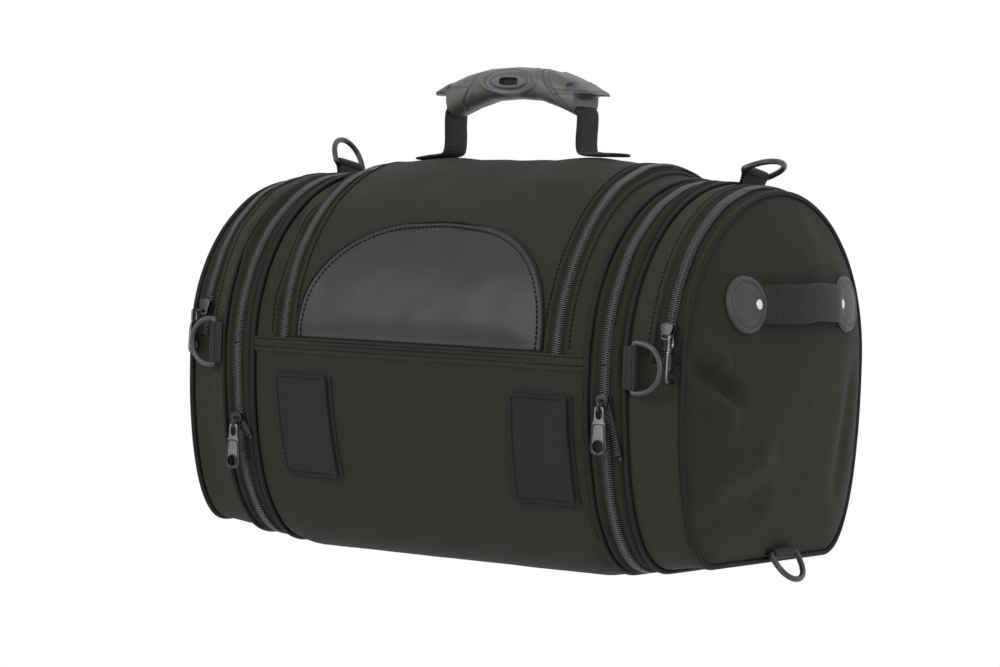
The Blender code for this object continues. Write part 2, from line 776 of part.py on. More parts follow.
def end_slider(name, side):
    """End-pocket slider with a side pin for its edge-on pull."""
    radius = profile(END_ZIP_X - SLIDER[0] / 2)[0] + 0.0005
    turn = Matrix.Translation((0, 0, AXIS_Z)) @ Matrix.Rotation(-math.radians(END_SLIDER_DEGREES), 4, "X")
    base = turn @ Vector((side * END_ZIP_X, -radius, 0))
    normal = turn.to_3x3() @ Vector((0, -1, 0))
    up = turn.to_3x3() @ Vector((0, 0, 1))
    body, _ = slider_body("end_slider_" + name, base, normal, up)
    pin_at = base + normal * (SLIDER[1] + 0.0006) - up * 0.0030
    bpy.ops.mesh.primitive_cylinder_add(vertices=12, radius=PIN_R, depth=PIN_LENGTH)
    pin = bpy.context.object
    pin.name = "end_slider_pin_" + name
    pin_centre = Vector((side * (END_ZIP_X + 0.0030), pin_at.y, pin_at.z))
    pin.matrix_world = Matrix.Translation(pin_centre) @ Matrix.Rotation(math.pi / 2, 4, "Y")
    boolean(body, pin, "UNION")
    outlines = [mirrored(END_PULL_HALF), circle(*END_PULL_EYE, 12), circle(*END_PULL_HOLE, 12)]
    plate = frame_matrix((side * END_PULL_X, pin_at.y, pin_at.z), (0, 1, 0), (0, 0, 1))
    outline_plate("end_pull_" + name, outlines, PULL_THICK, METAL, plate)


def expansion_slider(name, side, z):
    """Slider and pull on the straight front run of the expansion zip."""
    base = front_point(EXPANSION_ZIP_X, z, 0.0012)
    ahead = front_point(EXPANSION_ZIP_X, z + 0.004, 0.0012)
    up = (ahead - base).normalized()
    normal = up.cross(Vector((1, 0, 0))) * -1
    if normal.y > 0:
        normal.negate()
    base.x *= side
    eye = slider("expansion_slider_" + name, base, normal, up)
    pull("expansion_pull_" + name, eye, (1, 0, 0), (0, 0, -1))


LID_SLIDER_X, LID_SLIDER_Z = 0.090, 0.1432


def lid_slider():
    """Slider at one end of the lid zip's run across the back."""
    base = Vector((LID_SLIDER_X, CENTRE_R + TAPE + 3 * GAP, LID_SLIDER_Z))
    eye = slider("lid_slider", base, (0, 1, 0), (0, 0, 1))
    pull("lid_pull", eye, (1, 0, 0), (0, 0, -1))


# ---------------------------------------------------------------- front pads
# side, left edge, low and high edge
PADS = (("left", -0.1136, 0.0520, 0.1180), ("right", 0.0765, 0.0480, 0.1155))
PAD_WIDTH = 0.0440
FLAP_THICK = 0.0014


def hook_pad(name, left, low, high):
    """Hook-and-loop pad: a sewn base and a flap that peels from the right."""
    zs = spread(low, high, 5)
    inset = 0.001
    base_xs = [left + inset, left + PAD_WIDTH - inset]
    front_patch("pad_base_" + name, base_xs, zs, GAP, TAPE, LOOP)
    flap_xs = [left, left + PAD_WIDTH]
    flap = front_patch("pad_flap_" + name, flap_xs, zs, 2 * GAP + TAPE, FLAP_THICK, LOOP)
    set_origin(flap, (left, -(CENTRE_R + 0.0035), (low + high) / 2))


# ---------------------------------------------------------------- assembly
def build():
    main_shell()
    base_board()
    front_band()
    lid_panel()
    lid_front_panel()
    lid_zip()
    lid_slider()
    handle_webbing()
    handle_grip()
    for pad in PADS:
        hook_pad(*pad)
    for name, side in SIDES:
        handle_tab("handle_tab_" + name, side)
        piping("main_piping_" + name, MAIN_PIPING_X, side)
        expansion_gusset("expansion_gusset_" + name, side)
        expansion_zip("expansion_zip_" + name, side)
        divider("divider_" + name, side)
        end_band("end_band_" + name, side)
        piping("end_piping_" + name, END_PIPING_X, side)
        end_panel("end_panel_" + name, side)
        end_door("end_door_" + name, side)
        end_zip("end_zip_" + name, side)
        end_handle("end_handle_" + name, side)
        end_patch("end_patch_front_" + name, side, -1)
        end_patch("end_patch_rear_" + name, side, 1)
        rings(name, side)
        end_slider(name, side)
    expansion_slider("left", -1, EXPANSION_SLIDER_Z[0])
    expansion_slider("right", 1, EXPANSION_SLIDER_Z[1])


build()
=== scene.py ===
"""Looks of an expandable motorcycle tail bag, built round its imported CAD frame.

Everything is in metres in the CAD's own frame: +X to the bag's right end, -Y out of
its front, the floor at z = 0. Angles round the bag run from 0 at the front over 90 at
the top and 180 at the back to 270 underneath.
"""
import math

import bmesh
import bpy
import numpy as np
from mathutils import Matrix, Quaternion, Vector


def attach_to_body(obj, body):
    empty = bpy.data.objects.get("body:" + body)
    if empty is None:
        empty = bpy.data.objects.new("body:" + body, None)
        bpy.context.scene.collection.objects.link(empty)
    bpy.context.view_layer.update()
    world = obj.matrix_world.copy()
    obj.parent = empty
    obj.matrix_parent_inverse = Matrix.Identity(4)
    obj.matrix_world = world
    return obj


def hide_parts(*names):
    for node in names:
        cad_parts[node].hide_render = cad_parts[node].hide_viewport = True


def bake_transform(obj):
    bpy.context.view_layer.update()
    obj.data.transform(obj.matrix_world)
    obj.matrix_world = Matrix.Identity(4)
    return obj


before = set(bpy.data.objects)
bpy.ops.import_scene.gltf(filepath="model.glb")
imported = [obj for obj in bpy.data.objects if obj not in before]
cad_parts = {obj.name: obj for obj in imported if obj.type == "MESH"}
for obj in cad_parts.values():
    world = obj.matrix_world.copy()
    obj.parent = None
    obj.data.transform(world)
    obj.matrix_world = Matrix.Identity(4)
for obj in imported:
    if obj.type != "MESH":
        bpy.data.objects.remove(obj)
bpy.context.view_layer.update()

# ------------------------------------------------------------------ driving sizes
AXIS_Z = 0.1365            # axis of the round upper half
CENTRE_R = 0.119
HALF = 0.196               # seam of each end panel
DOME = 0.020
CORNER_POWER = 2.3
LID_RISE = 0.0045

# |x|, radius, bottom height, half width of the flat bottom
STATIONS = np.array((
    (0.0, CENTRE_R, 0.0, 0.055),
    (0.120, CENTRE_R, 0.0, 0.055),
    (0.1337, CENTRE_R, 0.0048, 0.056),
    (0.147, CENTRE_R, 0.0060, 0.057),
    (0.1604, 0.1180, 0.0075, 0.058),
    (0.1790, 0.1107, 0.0110, 0.065),
    (HALF, 0.1090, 0.0134, 0.068),
))
STATION_BLUR = 0.006

# |x|, how far the crown stands above the plain round shape there
CROWN = np.array((
    (0.0, 0.0048),
    (0.1075, 0.0060),
    (0.1135, 0.0050),
    (0.1190, -0.0005),
    (0.1337, -0.0038),
    (0.1604, -0.0040),
    (0.1720, -0.0018),
    (0.1850, 0.0002),
    (HALF, 0.0),
))
CROWN_BLUR = 0.003
CROWN_TILT = 0.014         # the right end of the lid stands that much higher per metre

POCKET_PUFF = 0.0032       # how far the end bands swell between their seams
SLOPE_STEP = (0.0006, 0.25)     # probe distances for a normal, metres and degrees
TINY = 1e-12

LID_ZIP_X = 0.1095
MAIN_PIPING_X = 0.1337
EXPANSION_ZIP_X = 0.147
END_PIPING_X = 0.1604
END_ZIP_X = 0.1849

FABRIC_THICK = 0.003       # two layers of cloth with a sheet of foam between
TAPE_THICK = 0.0009
PIPING_R = 0.0017
RIB = 0.0016               # webbing ribs
LOOP_RIB = 0.0019
TOOTH_PITCH = 0.00145
WEBBING = 0.0268
STITCH_IN = 0.0037         # topstitching's distance from a rolled edge
STITCH_LIFT = 0.00012
NEAR = 1e-6                # slack when grid lines are compared

HANDLE_X = -0.007
LEG_X = 0.0535             # handle's legs either side of that

SIDES = (("left", -1), ("right", 1))


# ------------------------------------------------------------------ noise
HASH = (374761393, 668265263, 2147483647, 1274126177)
HASH_MIX = 1103515245


def lattice(ix, iy, iz, seed):
    """A repeatable value from 0 to 1 at each whole-number point."""
    h = ix * HASH[0] + iy * HASH[1] + iz * HASH[2] + seed * HASH[3]
    h = (h ^ (h >> 13)) * HASH_MIX
    h = h ^ (h >> 16)
    return (h & 0xFFFFFF) / float(0xFFFFFF)


def noise(p, cell, seed=0):
    """Smooth noise from -1 to 1 at points p, with features about cell wide."""
    q = np.asarray(p, float) / cell
    base = np.floor(q).astype(np.int64)
    t = q - base
    t = t * t * t * (t * (t * 6 - 15) + 10)
    total = 0.0
    for dx in (0, 1):
        for dy in (0, 1):
            for dz in (0, 1):
                weight = (np.where(dx, t[..., 0], 1 - t[..., 0])
                          * np.where(dy, t[..., 1], 1 - t[..., 1])
                          * np.where(dz, t[..., 2], 1 - t[..., 2]))
                corner = lattice(base[..., 0] + dx, base[..., 1] + dy, base[..., 2] + dz, seed)
                total = total + weight * corner
    return total * 2 - 1


def smooth(t):
    """From 0 at t = 0 to 1 at t = 1, level at both ends."""
    t = np.clip(t, 0.0, 1.0)
    return t * t * (3 - 2 * t)


def bump(d, width):
    """1 at d = 0, fading to 0 over about width."""
    return np.exp(-(d / width) ** 2)


def matched(*values):
    """The values as float arrays of one shape."""
    return np.broadcast_arrays(*(np.asarray(v, float) for v in values))


def crossed(a, b):
    """Every pair of a and b, as two arrays."""
    return np.meshgrid(a, b, indexing="ij")


def ripple(a, b, c, cell, seed):
    """Noise at points given by three coordinates."""
    return noise(np.stack(matched(a, b, c), -1), cell, seed)


ROUND = 0.002              # metres of noise for each degree round the bag


def distances(path):
    """How far along a path each of its points lies."""
    return np.concatenate([[0], np.cumsum(np.linalg.norm(np.diff(path, axis=0), axis=1))])


# ------------------------------------------------------------------ bag surface
def softened(x, table, column, blur, count):
    """A table's column at |x|, averaged over blur either way."""
    shifts = np.linspace(-blur, blur, count)
    return sum(np.interp(np.abs(x + s), table[:, 0], table[:, column]) for s in shifts) / count


def profile(x):
    """Radius, bottom height and flat half width at x."""
    return [softened(np.abs(x), STATIONS, k, STATION_BLUR, 7) for k in (1, 2, 3)]


HALVINGS = 26              # of the interval that holds the section's edge


def outline_radius(x, degrees):
    """Distance from the axis to the section at x, in that direction."""
    x, degrees = matched(x, degrees)
    radius, bottom, flat = profile(x)
    angle = np.radians(degrees)
    across, up = np.abs(np.cos(angle)), np.sin(angle)
    low, high = radius * 0.8, radius * 1.5
    for _ in range(HALVINGS):
        middle = (low + high) / 2
        sideways = np.maximum(middle * across - flat, 0.0) / (radius - flat)
        down = np.maximum(-middle * up, 0.0) / (AXIS_Z - bottom)
        inside = sideways ** CORNER_POWER + down ** CORNER_POWER < 1
        low, high = np.where(inside, middle, low), np.where(inside, high, middle)
    return np.where(up >= 0, radius, low)


def sag(x, degrees):
    """How far the fabric stands in or out of the plain shape: pillows, drag lines, dents."""
    x, degrees = matched(x, degrees)
    angle = np.radians(degrees)
    place = np.stack([x, -0.12 * np.cos(angle), 0.12 * np.sin(angle)], -1)
    stretch = place * np.array((1.0, 0.45, 0.45))
    depth = 0.0009 * noise(stretch, 0.034, 3) + 0.0006 * noise(place, 0.019, 5)
    ax = np.abs(x)
    centre = 1 - smooth((ax - 0.118) / 0.012)
    below = np.sin(angle) < 0
    pillow = np.where(below, 0.0018 * (1 - (ax / 0.134) ** 2).clip(0, 1), 0.0)
    flat_bottom = smooth((-np.sin(angle) - 0.70) / 0.2)
    depth = depth * (1 - 0.85 * flat_bottom) + pillow * centre * (1 - flat_bottom)
    for seam in (MAIN_PIPING_X, END_PIPING_X, HALF):
        depth = depth * (1 - 0.75 * bump(ax - seam, 0.005))
    upper = smooth((degrees % 360 - 14) / 40) * smooth((250 - degrees % 360) / 40)
    depth = depth + POCKET_PUFF * np.maximum(1 - ((ax - 0.178) / 0.0165) ** 2, 0) * upper
    return depth + puckers(x, degrees) + drag_lines(x, degrees)


def puckers(x, degrees):
    """Short folds that run off the right main piping, beside the pad."""
    z = AXIS_Z + CENTRE_R * np.sin(np.radians(degrees))
    near = smooth((x - 0.1235) / 0.0045) * (1 - smooth((x - 0.1305) / 0.0025))
    height = smooth((z - 0.030) / 0.02) * smooth((0.128 - z) / 0.012) * (np.cos(np.radians(degrees)) > 0)
    wave = np.sin((z + (x - 0.12) * 0.9) * 2 * math.pi / 0.0170 + 1.4 * np.sin(z * 90))
    return 0.0013 * near * height * wave


def drag_lines(x, degrees):
    """Soft slanting folds between the left lid zip and the main piping."""
    round_it = np.radians(degrees) * CENTRE_R
    near = smooth((-x - 0.114) / 0.005) * smooth((0.1325 + x) / 0.005)
    reach = smooth((degrees - 6) / 10) * smooth((105 - degrees) / 30)
    wave = np.sin((round_it * 0.55 + x * 1.6) * 2 * math.pi / 0.030 + 0.8 * np.sin(round_it * 55))
    return 0.0014 * near * reach * wave


def crown(x, degrees):
    """The lid is drawn up by the handle; the seams beside it sink a little."""
    rise = softened(x, CROWN, 1, CROWN_BLUR, 5)
    rise = rise + CROWN_TILT * x * (1 - smooth((np.abs(x) - 0.112) / 0.012))
    return rise * np.maximum(np.sin(np.radians(degrees)), 0.0) ** 3


def bare_point(x, degrees, lift=None):
    """The wall without its seams' offsets, raised by lift where one is given."""
    x, degrees = matched(x, degrees)
    r = outline_radius(x, degrees) + sag(x, degrees) + crown(x, degrees)
    if lift is not None:
        r = r + lift(x, degrees)
    angle = np.radians(degrees)
    return np.stack([x, -r * np.cos(angle), AXIS_Z + r * np.sin(angle)], -1)


def surface(point, u, v, offset, du, dv):
    """point(u, v) moved outward by offset along the surface's normal, and that normal."""
    u, v, offset = matched(u, v, offset)
    a = point(u + du, v) - point(u - du, v)
    b = point(u, v + dv) - point(u, v - dv)
    normal = np.cross(a, b)
    normal = normal / np.maximum(np.linalg.norm(normal, axis=-1, keepdims=True), TINY)
    return point(u, v) + normal * offset[..., None], normal


def bag(x, degrees, offset=0.0):
    """Points on the bag's wall and their outward normals."""
    return surface(bare_point, x, degrees, offset, *SLOPE_STEP)


def lid_lift(x, degrees):
    """The carry handle draws the lid up where its legs are sewn."""
    angle = np.radians(degrees)
    legs = bump(np.abs(x - HANDLE_X) - LEG_X, 0.030)
    between = np.abs(x - HANDLE_X) < LEG_X
    along = np.where(between, np.maximum(legs, 0.62), legs)
    return LID_RISE * (0.10 + 0.90 * along) * np.maximum(np.sin(angle), 0.0) ** 5


def bare_lid(x, degrees):
    return bare_point(x, degrees, lid_lift)


def lid(x, degrees, offset=0.0):
    """Points on the lid and their outward normals."""
    return surface(bare_lid, x, degrees, offset, *SLOPE_STEP)


FRONT_ANGLES = np.linspace(-80, 80, 641)


def angle_at(z, x=0.0):
    """Angle of the front wall's point at height z."""
    return np.interp(z, bare_point(x, FRONT_ANGLES)[..., 2], FRONT_ANGLES)


def crease(y, z, start, end, depth, width):
    """A soft valley along the line from start to end."""
    start, end = np.array(start), np.array(end)
    along = end - start
    length = np.linalg.norm(along)
    t = ((y - start[0]) * along[0] + (z - start[1]) * along[1]) / length ** 2
    off = ((y - start[0]) * along[1] - (z - start[1]) * along[0]) / length
    fade = smooth(t / 0.25) * smooth((1 - t) / 0.25)
    return -depth * fade * np.exp(-(off / width) ** 2)


# start and end of each fold in an end panel (y, z), how deep it goes in, how wide it is
CREASES = (
    ((-0.122, 0.151), (-0.060, 0.115), 0.0084, 0.0056),
    ((-0.118, 0.166), (-0.074, 0.134), -0.0062, 0.0070),
    ((-0.114, 0.134), (-0.064, 0.101), -0.0044, 0.0070),
    ((-0.124, 0.056), (-0.018, 0.088), -0.0050, 0.0120),
    ((-0.120, 0.034), (-0.020, 0.058), 0.0044, 0.0110),
    ((0.082, 0.145), (0.058, 0.040), 0.0032, 0.0095),
    ((0.020, 0.235), (0.088, 0.200), 0.0016, 0.0090),
)


NOISE_APART = 7.0          # keeps the two ends' dents different


def end_wall(side):
    """The domed end panel of one side as point(share, degrees); share is 1 at its seam."""
    def point(share, degrees):
        share, degrees = matched(share, degrees)
        rim = bare_point(HALF, degrees)
        y = rim[..., 1] * share
        z = AXIS_Z + (rim[..., 2] - AXIS_Z) * share
        rise = DOME * (0.62 * (1 - share ** 2) + 0.38 * (1 - share ** 6))
        apart = NOISE_APART * side
        soft = smooth((1 - share) / 0.25)
        dents = 0.0012 * ripple(apart, y, z, 0.045, 11) + 0.0007 * ripple(apart, y, z, 0.021, 13)
        rise = rise + soft * dents
        for start, end, depth, width in CREASES:
            rise = rise + crease(y, z, start, end, depth, width) * smooth((1 - share) / 0.16)
        return np.stack([side * (HALF + rise), y, z], -1)
    return point


def dome(side, share, degrees, offset=0.0):
    """Points on an end panel and their outward normals."""
    points, normal = surface(end_wall(side), share, degrees, 0.0, 0.004, 0.3)
    normal = normal * np.sign(normal[..., :1]) * side
    return points + normal * np.asarray(offset, float)[..., None], normal


def dome_share(y, z):
    """Where a point of the end panel lies between its middle and its seam, and in which direction."""
    degrees = np.degrees(np.arctan2(z - AXIS_Z, -y)) % 360
    return np.hypot(y, z - AXIS_Z) / outline_radius(HALF, degrees), degrees


def dome_yz(side, y, z, offset=0.0):
    """The same, for points given by y and z."""
    share, degrees = dome_share(np.asarray(y, float), np.asarray(z, float))
    return dome(side, share, degrees, offset)


# ------------------------------------------------------------------ mesh makers
def linked(name, data):
    """An object of the data, put in the scene."""
    obj = bpy.data.objects.new(name, data)
    bpy.context.scene.collection.objects.link(obj)
    return obj


def add_mesh(name, verts, faces, mats, uv=None):
    mesh = bpy.data.meshes.new(name)
    mesh.from_pydata(np.asarray(verts, float).reshape(-1, 3).tolist(), [], [tuple(f) for f in faces])
    for mat in (mats if isinstance(mats, (list, tuple)) else [mats]):
        mesh.materials.append(mat)
    if uv is not None:
        layer = mesh.uv_layers.new(name="UVMap")
        layer.data.foreach_set("uv", np.asarray(uv, np.float32).ravel())
    mesh.polygons.foreach_set("use_smooth", [True] * len(mesh.polygons))
    mesh.update()
    return linked(name, mesh)


def grid(name, points, mats, closed=False, keep=None, flip=False):
    """A sheet from an (n, m, 3) array, with texture coordinates in metres."""
    n, m = points.shape[:2]
    columns = m if closed else m - 1
    i, j = crossed(np.arange(n - 1), np.arange(columns))
    if keep is not None:
        wanted = keep(i, j)
        i, j = i[wanted], j[wanted]
    i, j = i.ravel(), j.ravel()
    k = (j + 1) % m
    corners = [(i, j, j), (i + 1, j, j), (i + 1, k, j + 1), (i, k, j + 1)]
    if flip:
        corners = corners[::-1]
    faces = np.stack([a * m + b for a, b, _ in corners], -1)
    wrapped = np.concatenate([points, points[:, :1]], 1) if closed else points
    down = np.linalg.norm(np.diff(points, axis=0), axis=-1).mean(1)
    round_it = np.linalg.norm(np.diff(wrapped, axis=1), axis=-1).mean(0)
    u = np.concatenate([[0], np.cumsum(down)])
    v = np.concatenate([[0], np.cumsum(round_it)])
    uv = np.stack([np.stack([u[a], v[c]], -1) for a, _, c in corners], 1)
    used, faces = np.unique(faces, return_inverse=True)
    faces = faces.reshape(-1, 4)
    return add_mesh(name, points.reshape(-1, 3)[used], faces, mats, uv.reshape(-1, 2))


def thicken(obj, thickness, inner=1):
    """Give a sheet a wall on its inner side, which takes material slot inner."""
    mod = obj.modifiers.new("wall", "SOLIDIFY")
    mod.thickness = thickness
    mod.offset = -1.0
    mod.use_even_offset = False
    mod.material_offset = inner
    mod.material_offset_rim = 0
    return obj


def frames_along(path, up=None, closed=False):
    """Tangent, up and side unit vectors along an (n, 3) path."""
    path = np.asarray(path, float)
    if closed:
        tangent = np.roll(path, -1, 0) - np.roll(path, 1, 0)
    else:
        tangent = np.gradient(path, axis=0)
    tangent /= np.linalg.norm(tangent, axis=1, keepdims=True)
    if up is None:
        first = np.cross(tangent[0], (0.31, 0.52, 0.79))
        ups = [first / np.linalg.norm(first)]
        for t in tangent[1:]:
            u = ups[-1] - t * np.dot(ups[-1], t)
            ups.append(u / np.linalg.norm(u))
        up = np.array(ups)
    up = up - tangent * np.sum(up * tangent, 1, keepdims=True)
    up = up / np.linalg.norm(up, axis=1, keepdims=True)
    return tangent, up, np.cross(tangent, up)


def loft(name, path, outline, mat, up=None, closed=False, scale=None):
    """An outline of (side, up) points swept along a path."""
    path = np.asarray(path, float)
    outline = np.asarray(outline, float)
    _, up, side = frames_along(path, up, closed)
    shape = outline[None] if scale is None else outline[None] * np.asarray(scale, float)[:, None, :]
    points = path[:, None] + side[:, None] * shape[..., :1] + up[:, None] * shape[..., 1:]
    if closed:
        points = np.concatenate([points, points[:1]], 0)
    n, m = points.shape[:2]
    i, j = crossed(np.arange(n - 1), np.arange(m))
    i, j = i.ravel(), j.ravel()
    k = (j + 1) % m
    count = n - 1 if closed else n
    faces = np.stack([i * m + j, i * m + k, ((i + 1) % count) * m + k, ((i + 1) % count) * m + j], -1)
    step = distances(points.mean(1))
    ring = distances(np.concatenate([outline, outline[:1]]))
    uv = np.stack([np.stack([step[i], ring[j]], -1), np.stack([step[i], ring[j + 1]], -1),
                   np.stack([step[i + 1], ring[j + 1]], -1), np.stack([step[i + 1], ring[j]], -1)], 1)
    faces, uv = faces.tolist(), uv.reshape(-1, 2).tolist()
    if not closed:
        faces.append(list(range(m))[::-1])
        faces.append(list(range((n - 1) * m, n * m)))
        uv += [(0.0, 0.0)] * (2 * m)
    return add_mesh(name, points[:count], faces, mat, uv)


def turns(count):
    """Angles of a full circle in count steps."""
    return np.linspace(0, 2 * math.pi, count, endpoint=False)


def ring_outline(radius, sides):
    return np.stack([radius * np.cos(turns(sides)), radius * np.sin(turns(sides))], -1)


def strap_outline(width, thickness, power=5.0, count=24):
    """A flat strap's section with rounded edges."""
    angle = turns(count)
    c, s = np.cos(angle), np.sin(angle)
    return np.stack([width / 2 * np.sign(c) * np.abs(c) ** (2 / power),
                     thickness / 2 * np.sign(s) * np.abs(s) ** (2 / 2.4)], -1)


def resample(path, step):
    """Even distances along a path about step apart, and the distance of each of its own points."""
    length = distances(np.asarray(path, float))
    count = max(int(length[-1] / step), 1)
    wanted = (np.arange(count) + 0.5) * length[-1] / count
    return wanted, length


def follow(values, wanted, length):
    """Values of a path's points, read at the wanted distances."""
    return np.stack([np.interp(wanted, length, values[:, k]) for k in range(values.shape[1])], -1)


def scatter(name, template, faces, places, axes, mat):
    """Copies of a small closed shape, one in each frame of axes (n, 3, 3)."""
    template = np.asarray(template, float)
    points = places[:, None] + np.einsum("vk,nkc->nvc", template, axes)
    count = len(template)
    every = [[v + count * n for v in face] for n in range(len(places)) for face in faces]
    return add_mesh(name, points, every, mat)


def capsule(points, radii, sides):
    """Verts and faces of a rounded bar through a few points, flattened at its ends."""
    points = np.asarray(points, float)
    tangent = np.gradient(points, axis=0)
    tangent /= np.linalg.norm(tangent, axis=1, keepdims=True)
    verts = []
    for p, t, r in zip(points, tangent, radii):
        a = np.cross(t, (0.0, 0.0, 1.0) if abs(t[2]) < 0.8 else (0.0, 1.0, 0.0))
        a /= np.linalg.norm(a)
        b = np.cross(t, a)
        for s in range(sides):
            angle = 2 * math.pi * (s + 0.5) / sides
            verts.append(p + (a * math.cos(angle) + b * math.sin(angle)) * r)
    faces = []
    for i in range(len(points) - 1):
        for j in range(sides):
            k = (j + 1) % sides
            faces.append([i * sides + j, i * sides + k, (i + 1) * sides + k, (i + 1) * sides + j])
    faces.append(list(range(sides))[::-1])
    faces.append(list(range((len(points) - 1) * sides, len(points) * sides)))
    return np.array(verts), faces


STITCH = capsule([(-0.0013, 0, -0.0002), (-0.0008, 0, 0.00030),
                  (0.0008, 0, 0.00030), (0.0013, 0, -0.0002)],
                 (0.00022, 0.00042, 0.00042, 0.00022), 4)
STITCH_STEP = 0.0033


def stitch_rows(name, rows, mat, body):
    """Rows of thread; each row is (points, normals)."""
    places, axes = [], []
    for points, normals in rows:
        wanted, length = resample(points, STITCH_STEP)
        p, up = follow(points, wanted, length), follow(normals, wanted, length)
        tangent, up, side = frames_along(p, up)
        places.append(p)
        axes.append(np.stack([tangent, -side, up], 1))
    attach(scatter(name, *STITCH, np.concatenate(places), np.concatenate(axes), mat), body)


TOOTH = capsule([(0.00360, -0.0003, -0.0001), (0.0029, -0.0002, 0.0009), (0.0014, 0.0, 0.00125),
                 (0.0001, 0.0002, 0.0011), (-0.0008, 0.0003, 0.0006)],
                (0.00034, 0.00038, 0.00038, 0.00044, 0.00032), 5)


def teeth(name, points, normals, side, mat, body, blend=None):
    """One half of a zip's coil: a row of loops that lean over the middle from one side."""
    wanted, length = resample(points, TOOTH_PITCH)
    if side < 0:
        wanted = wanted[:-1] + TOOTH_PITCH / 2
    p, up = follow(points, wanted, length), follow(normals, wanted, length)
    tangent, up, across = frames_along(p, up)
    axes = np.stack([across * side, tangent, up], 1)
    verts, faces = TOOTH
    if side < 0:
        faces = [face[::-1] for face in faces]
    attach(scatter(name, verts, faces, p, axes, mat), body, blend=blend)


def attach(obj, body, replaces=(), blend=None):
    """Fix a piece to its body; where a blend is given, only bake the piece in place, on no body."""
    for node in replaces:
        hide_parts(node)
    if blend:
        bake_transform(obj)
    else:
        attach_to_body(obj, body)


# ------------------------------------------------------------------ materials
MIX_DARK, MIX_LIGHT, MIX_RESULT = 6, 7, 2      # a mix node's colour sockets


class Nodes:
    """Short forms for building a material's node tree."""

    def __init__(self, name, colour, roughness, **sockets):
        self.mat = bpy.data.materials.new(name)
        self.mat.use_nodes = True
        self.tree = self.mat.node_tree
        self.shader = self.tree.nodes["Principled BSDF"]
        self.shader.inputs["Base Color"].default_value = (*colour, 1.0)
        self.shader.inputs["Roughness"].default_value = roughness
        for key, value in sockets.items():
            self.shader.inputs[key.replace("_", " ")].default_value = value
        self.height = None

    def node(self, kind, **values):
        node = self.tree.nodes.new(kind)
        for key, value in values.items():
            if key in node.inputs:
                node.inputs[key].default_value = value
            else:
                setattr(node, key, value)
        return node

    def link(self, a, b):
        self.tree.links.new(a, b)

    def coords(self, kind="UV", scale=(1, 1, 1), turn=0.0):
        source = self.node("ShaderNodeTexCoord")
        mapping = self.node("ShaderNodeMapping")
        mapping.inputs["Scale"].default_value = scale
        mapping.inputs["Rotation"].default_value = (0, 0, turn)
        self.link(source.outputs[kind], mapping.inputs["Vector"])
        return mapping.outputs["Vector"]

    def math(self, operation, a, b=0.0):
        node = self.node("ShaderNodeMath", operation=operation)
        for socket, value in zip(node.inputs, (a, b)):
            if isinstance(value, (int, float)):
                socket.default_value = value
            else:
                self.link(value, socket)
        return node.outputs[0]

    def weigh(self, a, share_a, b, share_b):
        """Sum of two values, each times its share."""
        return self.math("ADD", self.math("MULTIPLY", a, share_a), self.math("MULTIPLY", b, share_b))

    def noise(self, vector, scale, detail=3.0, roughness=0.55):
        node = self.node("ShaderNodeTexNoise", Scale=scale, Detail=detail, Roughness=roughness)
        self.link(vector, node.inputs["Vector"])
        return node.outputs["Fac"]

    def wave(self, vector, scale, direction="X", distortion=0.0):
        node = self.node("ShaderNodeTexWave", Scale=scale, Distortion=distortion)
        node.bands_direction = direction
        self.link(vector, node.inputs["Vector"])
        return node.outputs["Fac"]

    def cells(self, vector, scale):
        node = self.node("ShaderNodeTexVoronoi", Scale=scale)
        node.feature = "DISTANCE_TO_EDGE"
        self.link(vector, node.inputs["Vector"])
        return node.outputs["Distance"]

    def ramp(self, value, low, high):
        """Stretch a value from the range low..high to 0..1."""
        node = self.node("ShaderNodeMapRange")
        node.inputs["From Min"].default_value = low
        node.inputs["From Max"].default_value = high
        self.link(value, node.inputs["Value"])
        return node.outputs["Result"]

    def tint(self, factor, dark, light):
        """Base colour between two colours by a factor."""
        node = self.node("ShaderNodeMix", data_type="RGBA")
        node.inputs[MIX_DARK].default_value = (*dark, 1.0)
        node.inputs[MIX_LIGHT].default_value = (*light, 1.0)
        self.link(factor, node.inputs[0])
        self.link(node.outputs[MIX_RESULT], self.shader.inputs["Base Color"])

    def rough(self, factor, low, high):
        """Roughness between two values by a factor."""
        node = self.node("ShaderNodeMapRange")
        node.inputs["To Min"].default_value = low
        node.inputs["To Max"].default_value = high
        self.link(factor, node.inputs["Value"])
        self.link(node.outputs["Result"], self.shader.inputs["Roughness"])

    def relief(self, height, distance, strength=1.0):
        """Another layer of bump, distance metres high."""
        node = self.node("ShaderNodeBump", Strength=strength, Distance=distance)
        self.link(height, node.inputs["Height"])
        if self.height is not None:
            self.link(self.height, node.inputs["Normal"])
        self.height = node.outputs["Normal"]
        self.link(self.height, self.shader.inputs["Normal"])


WAVE_CYCLE = 2 * math.pi / 20   # a wave texture's band is this wide at scale 1


def shade(colour, factor):
    return tuple(c * factor for c in colour)


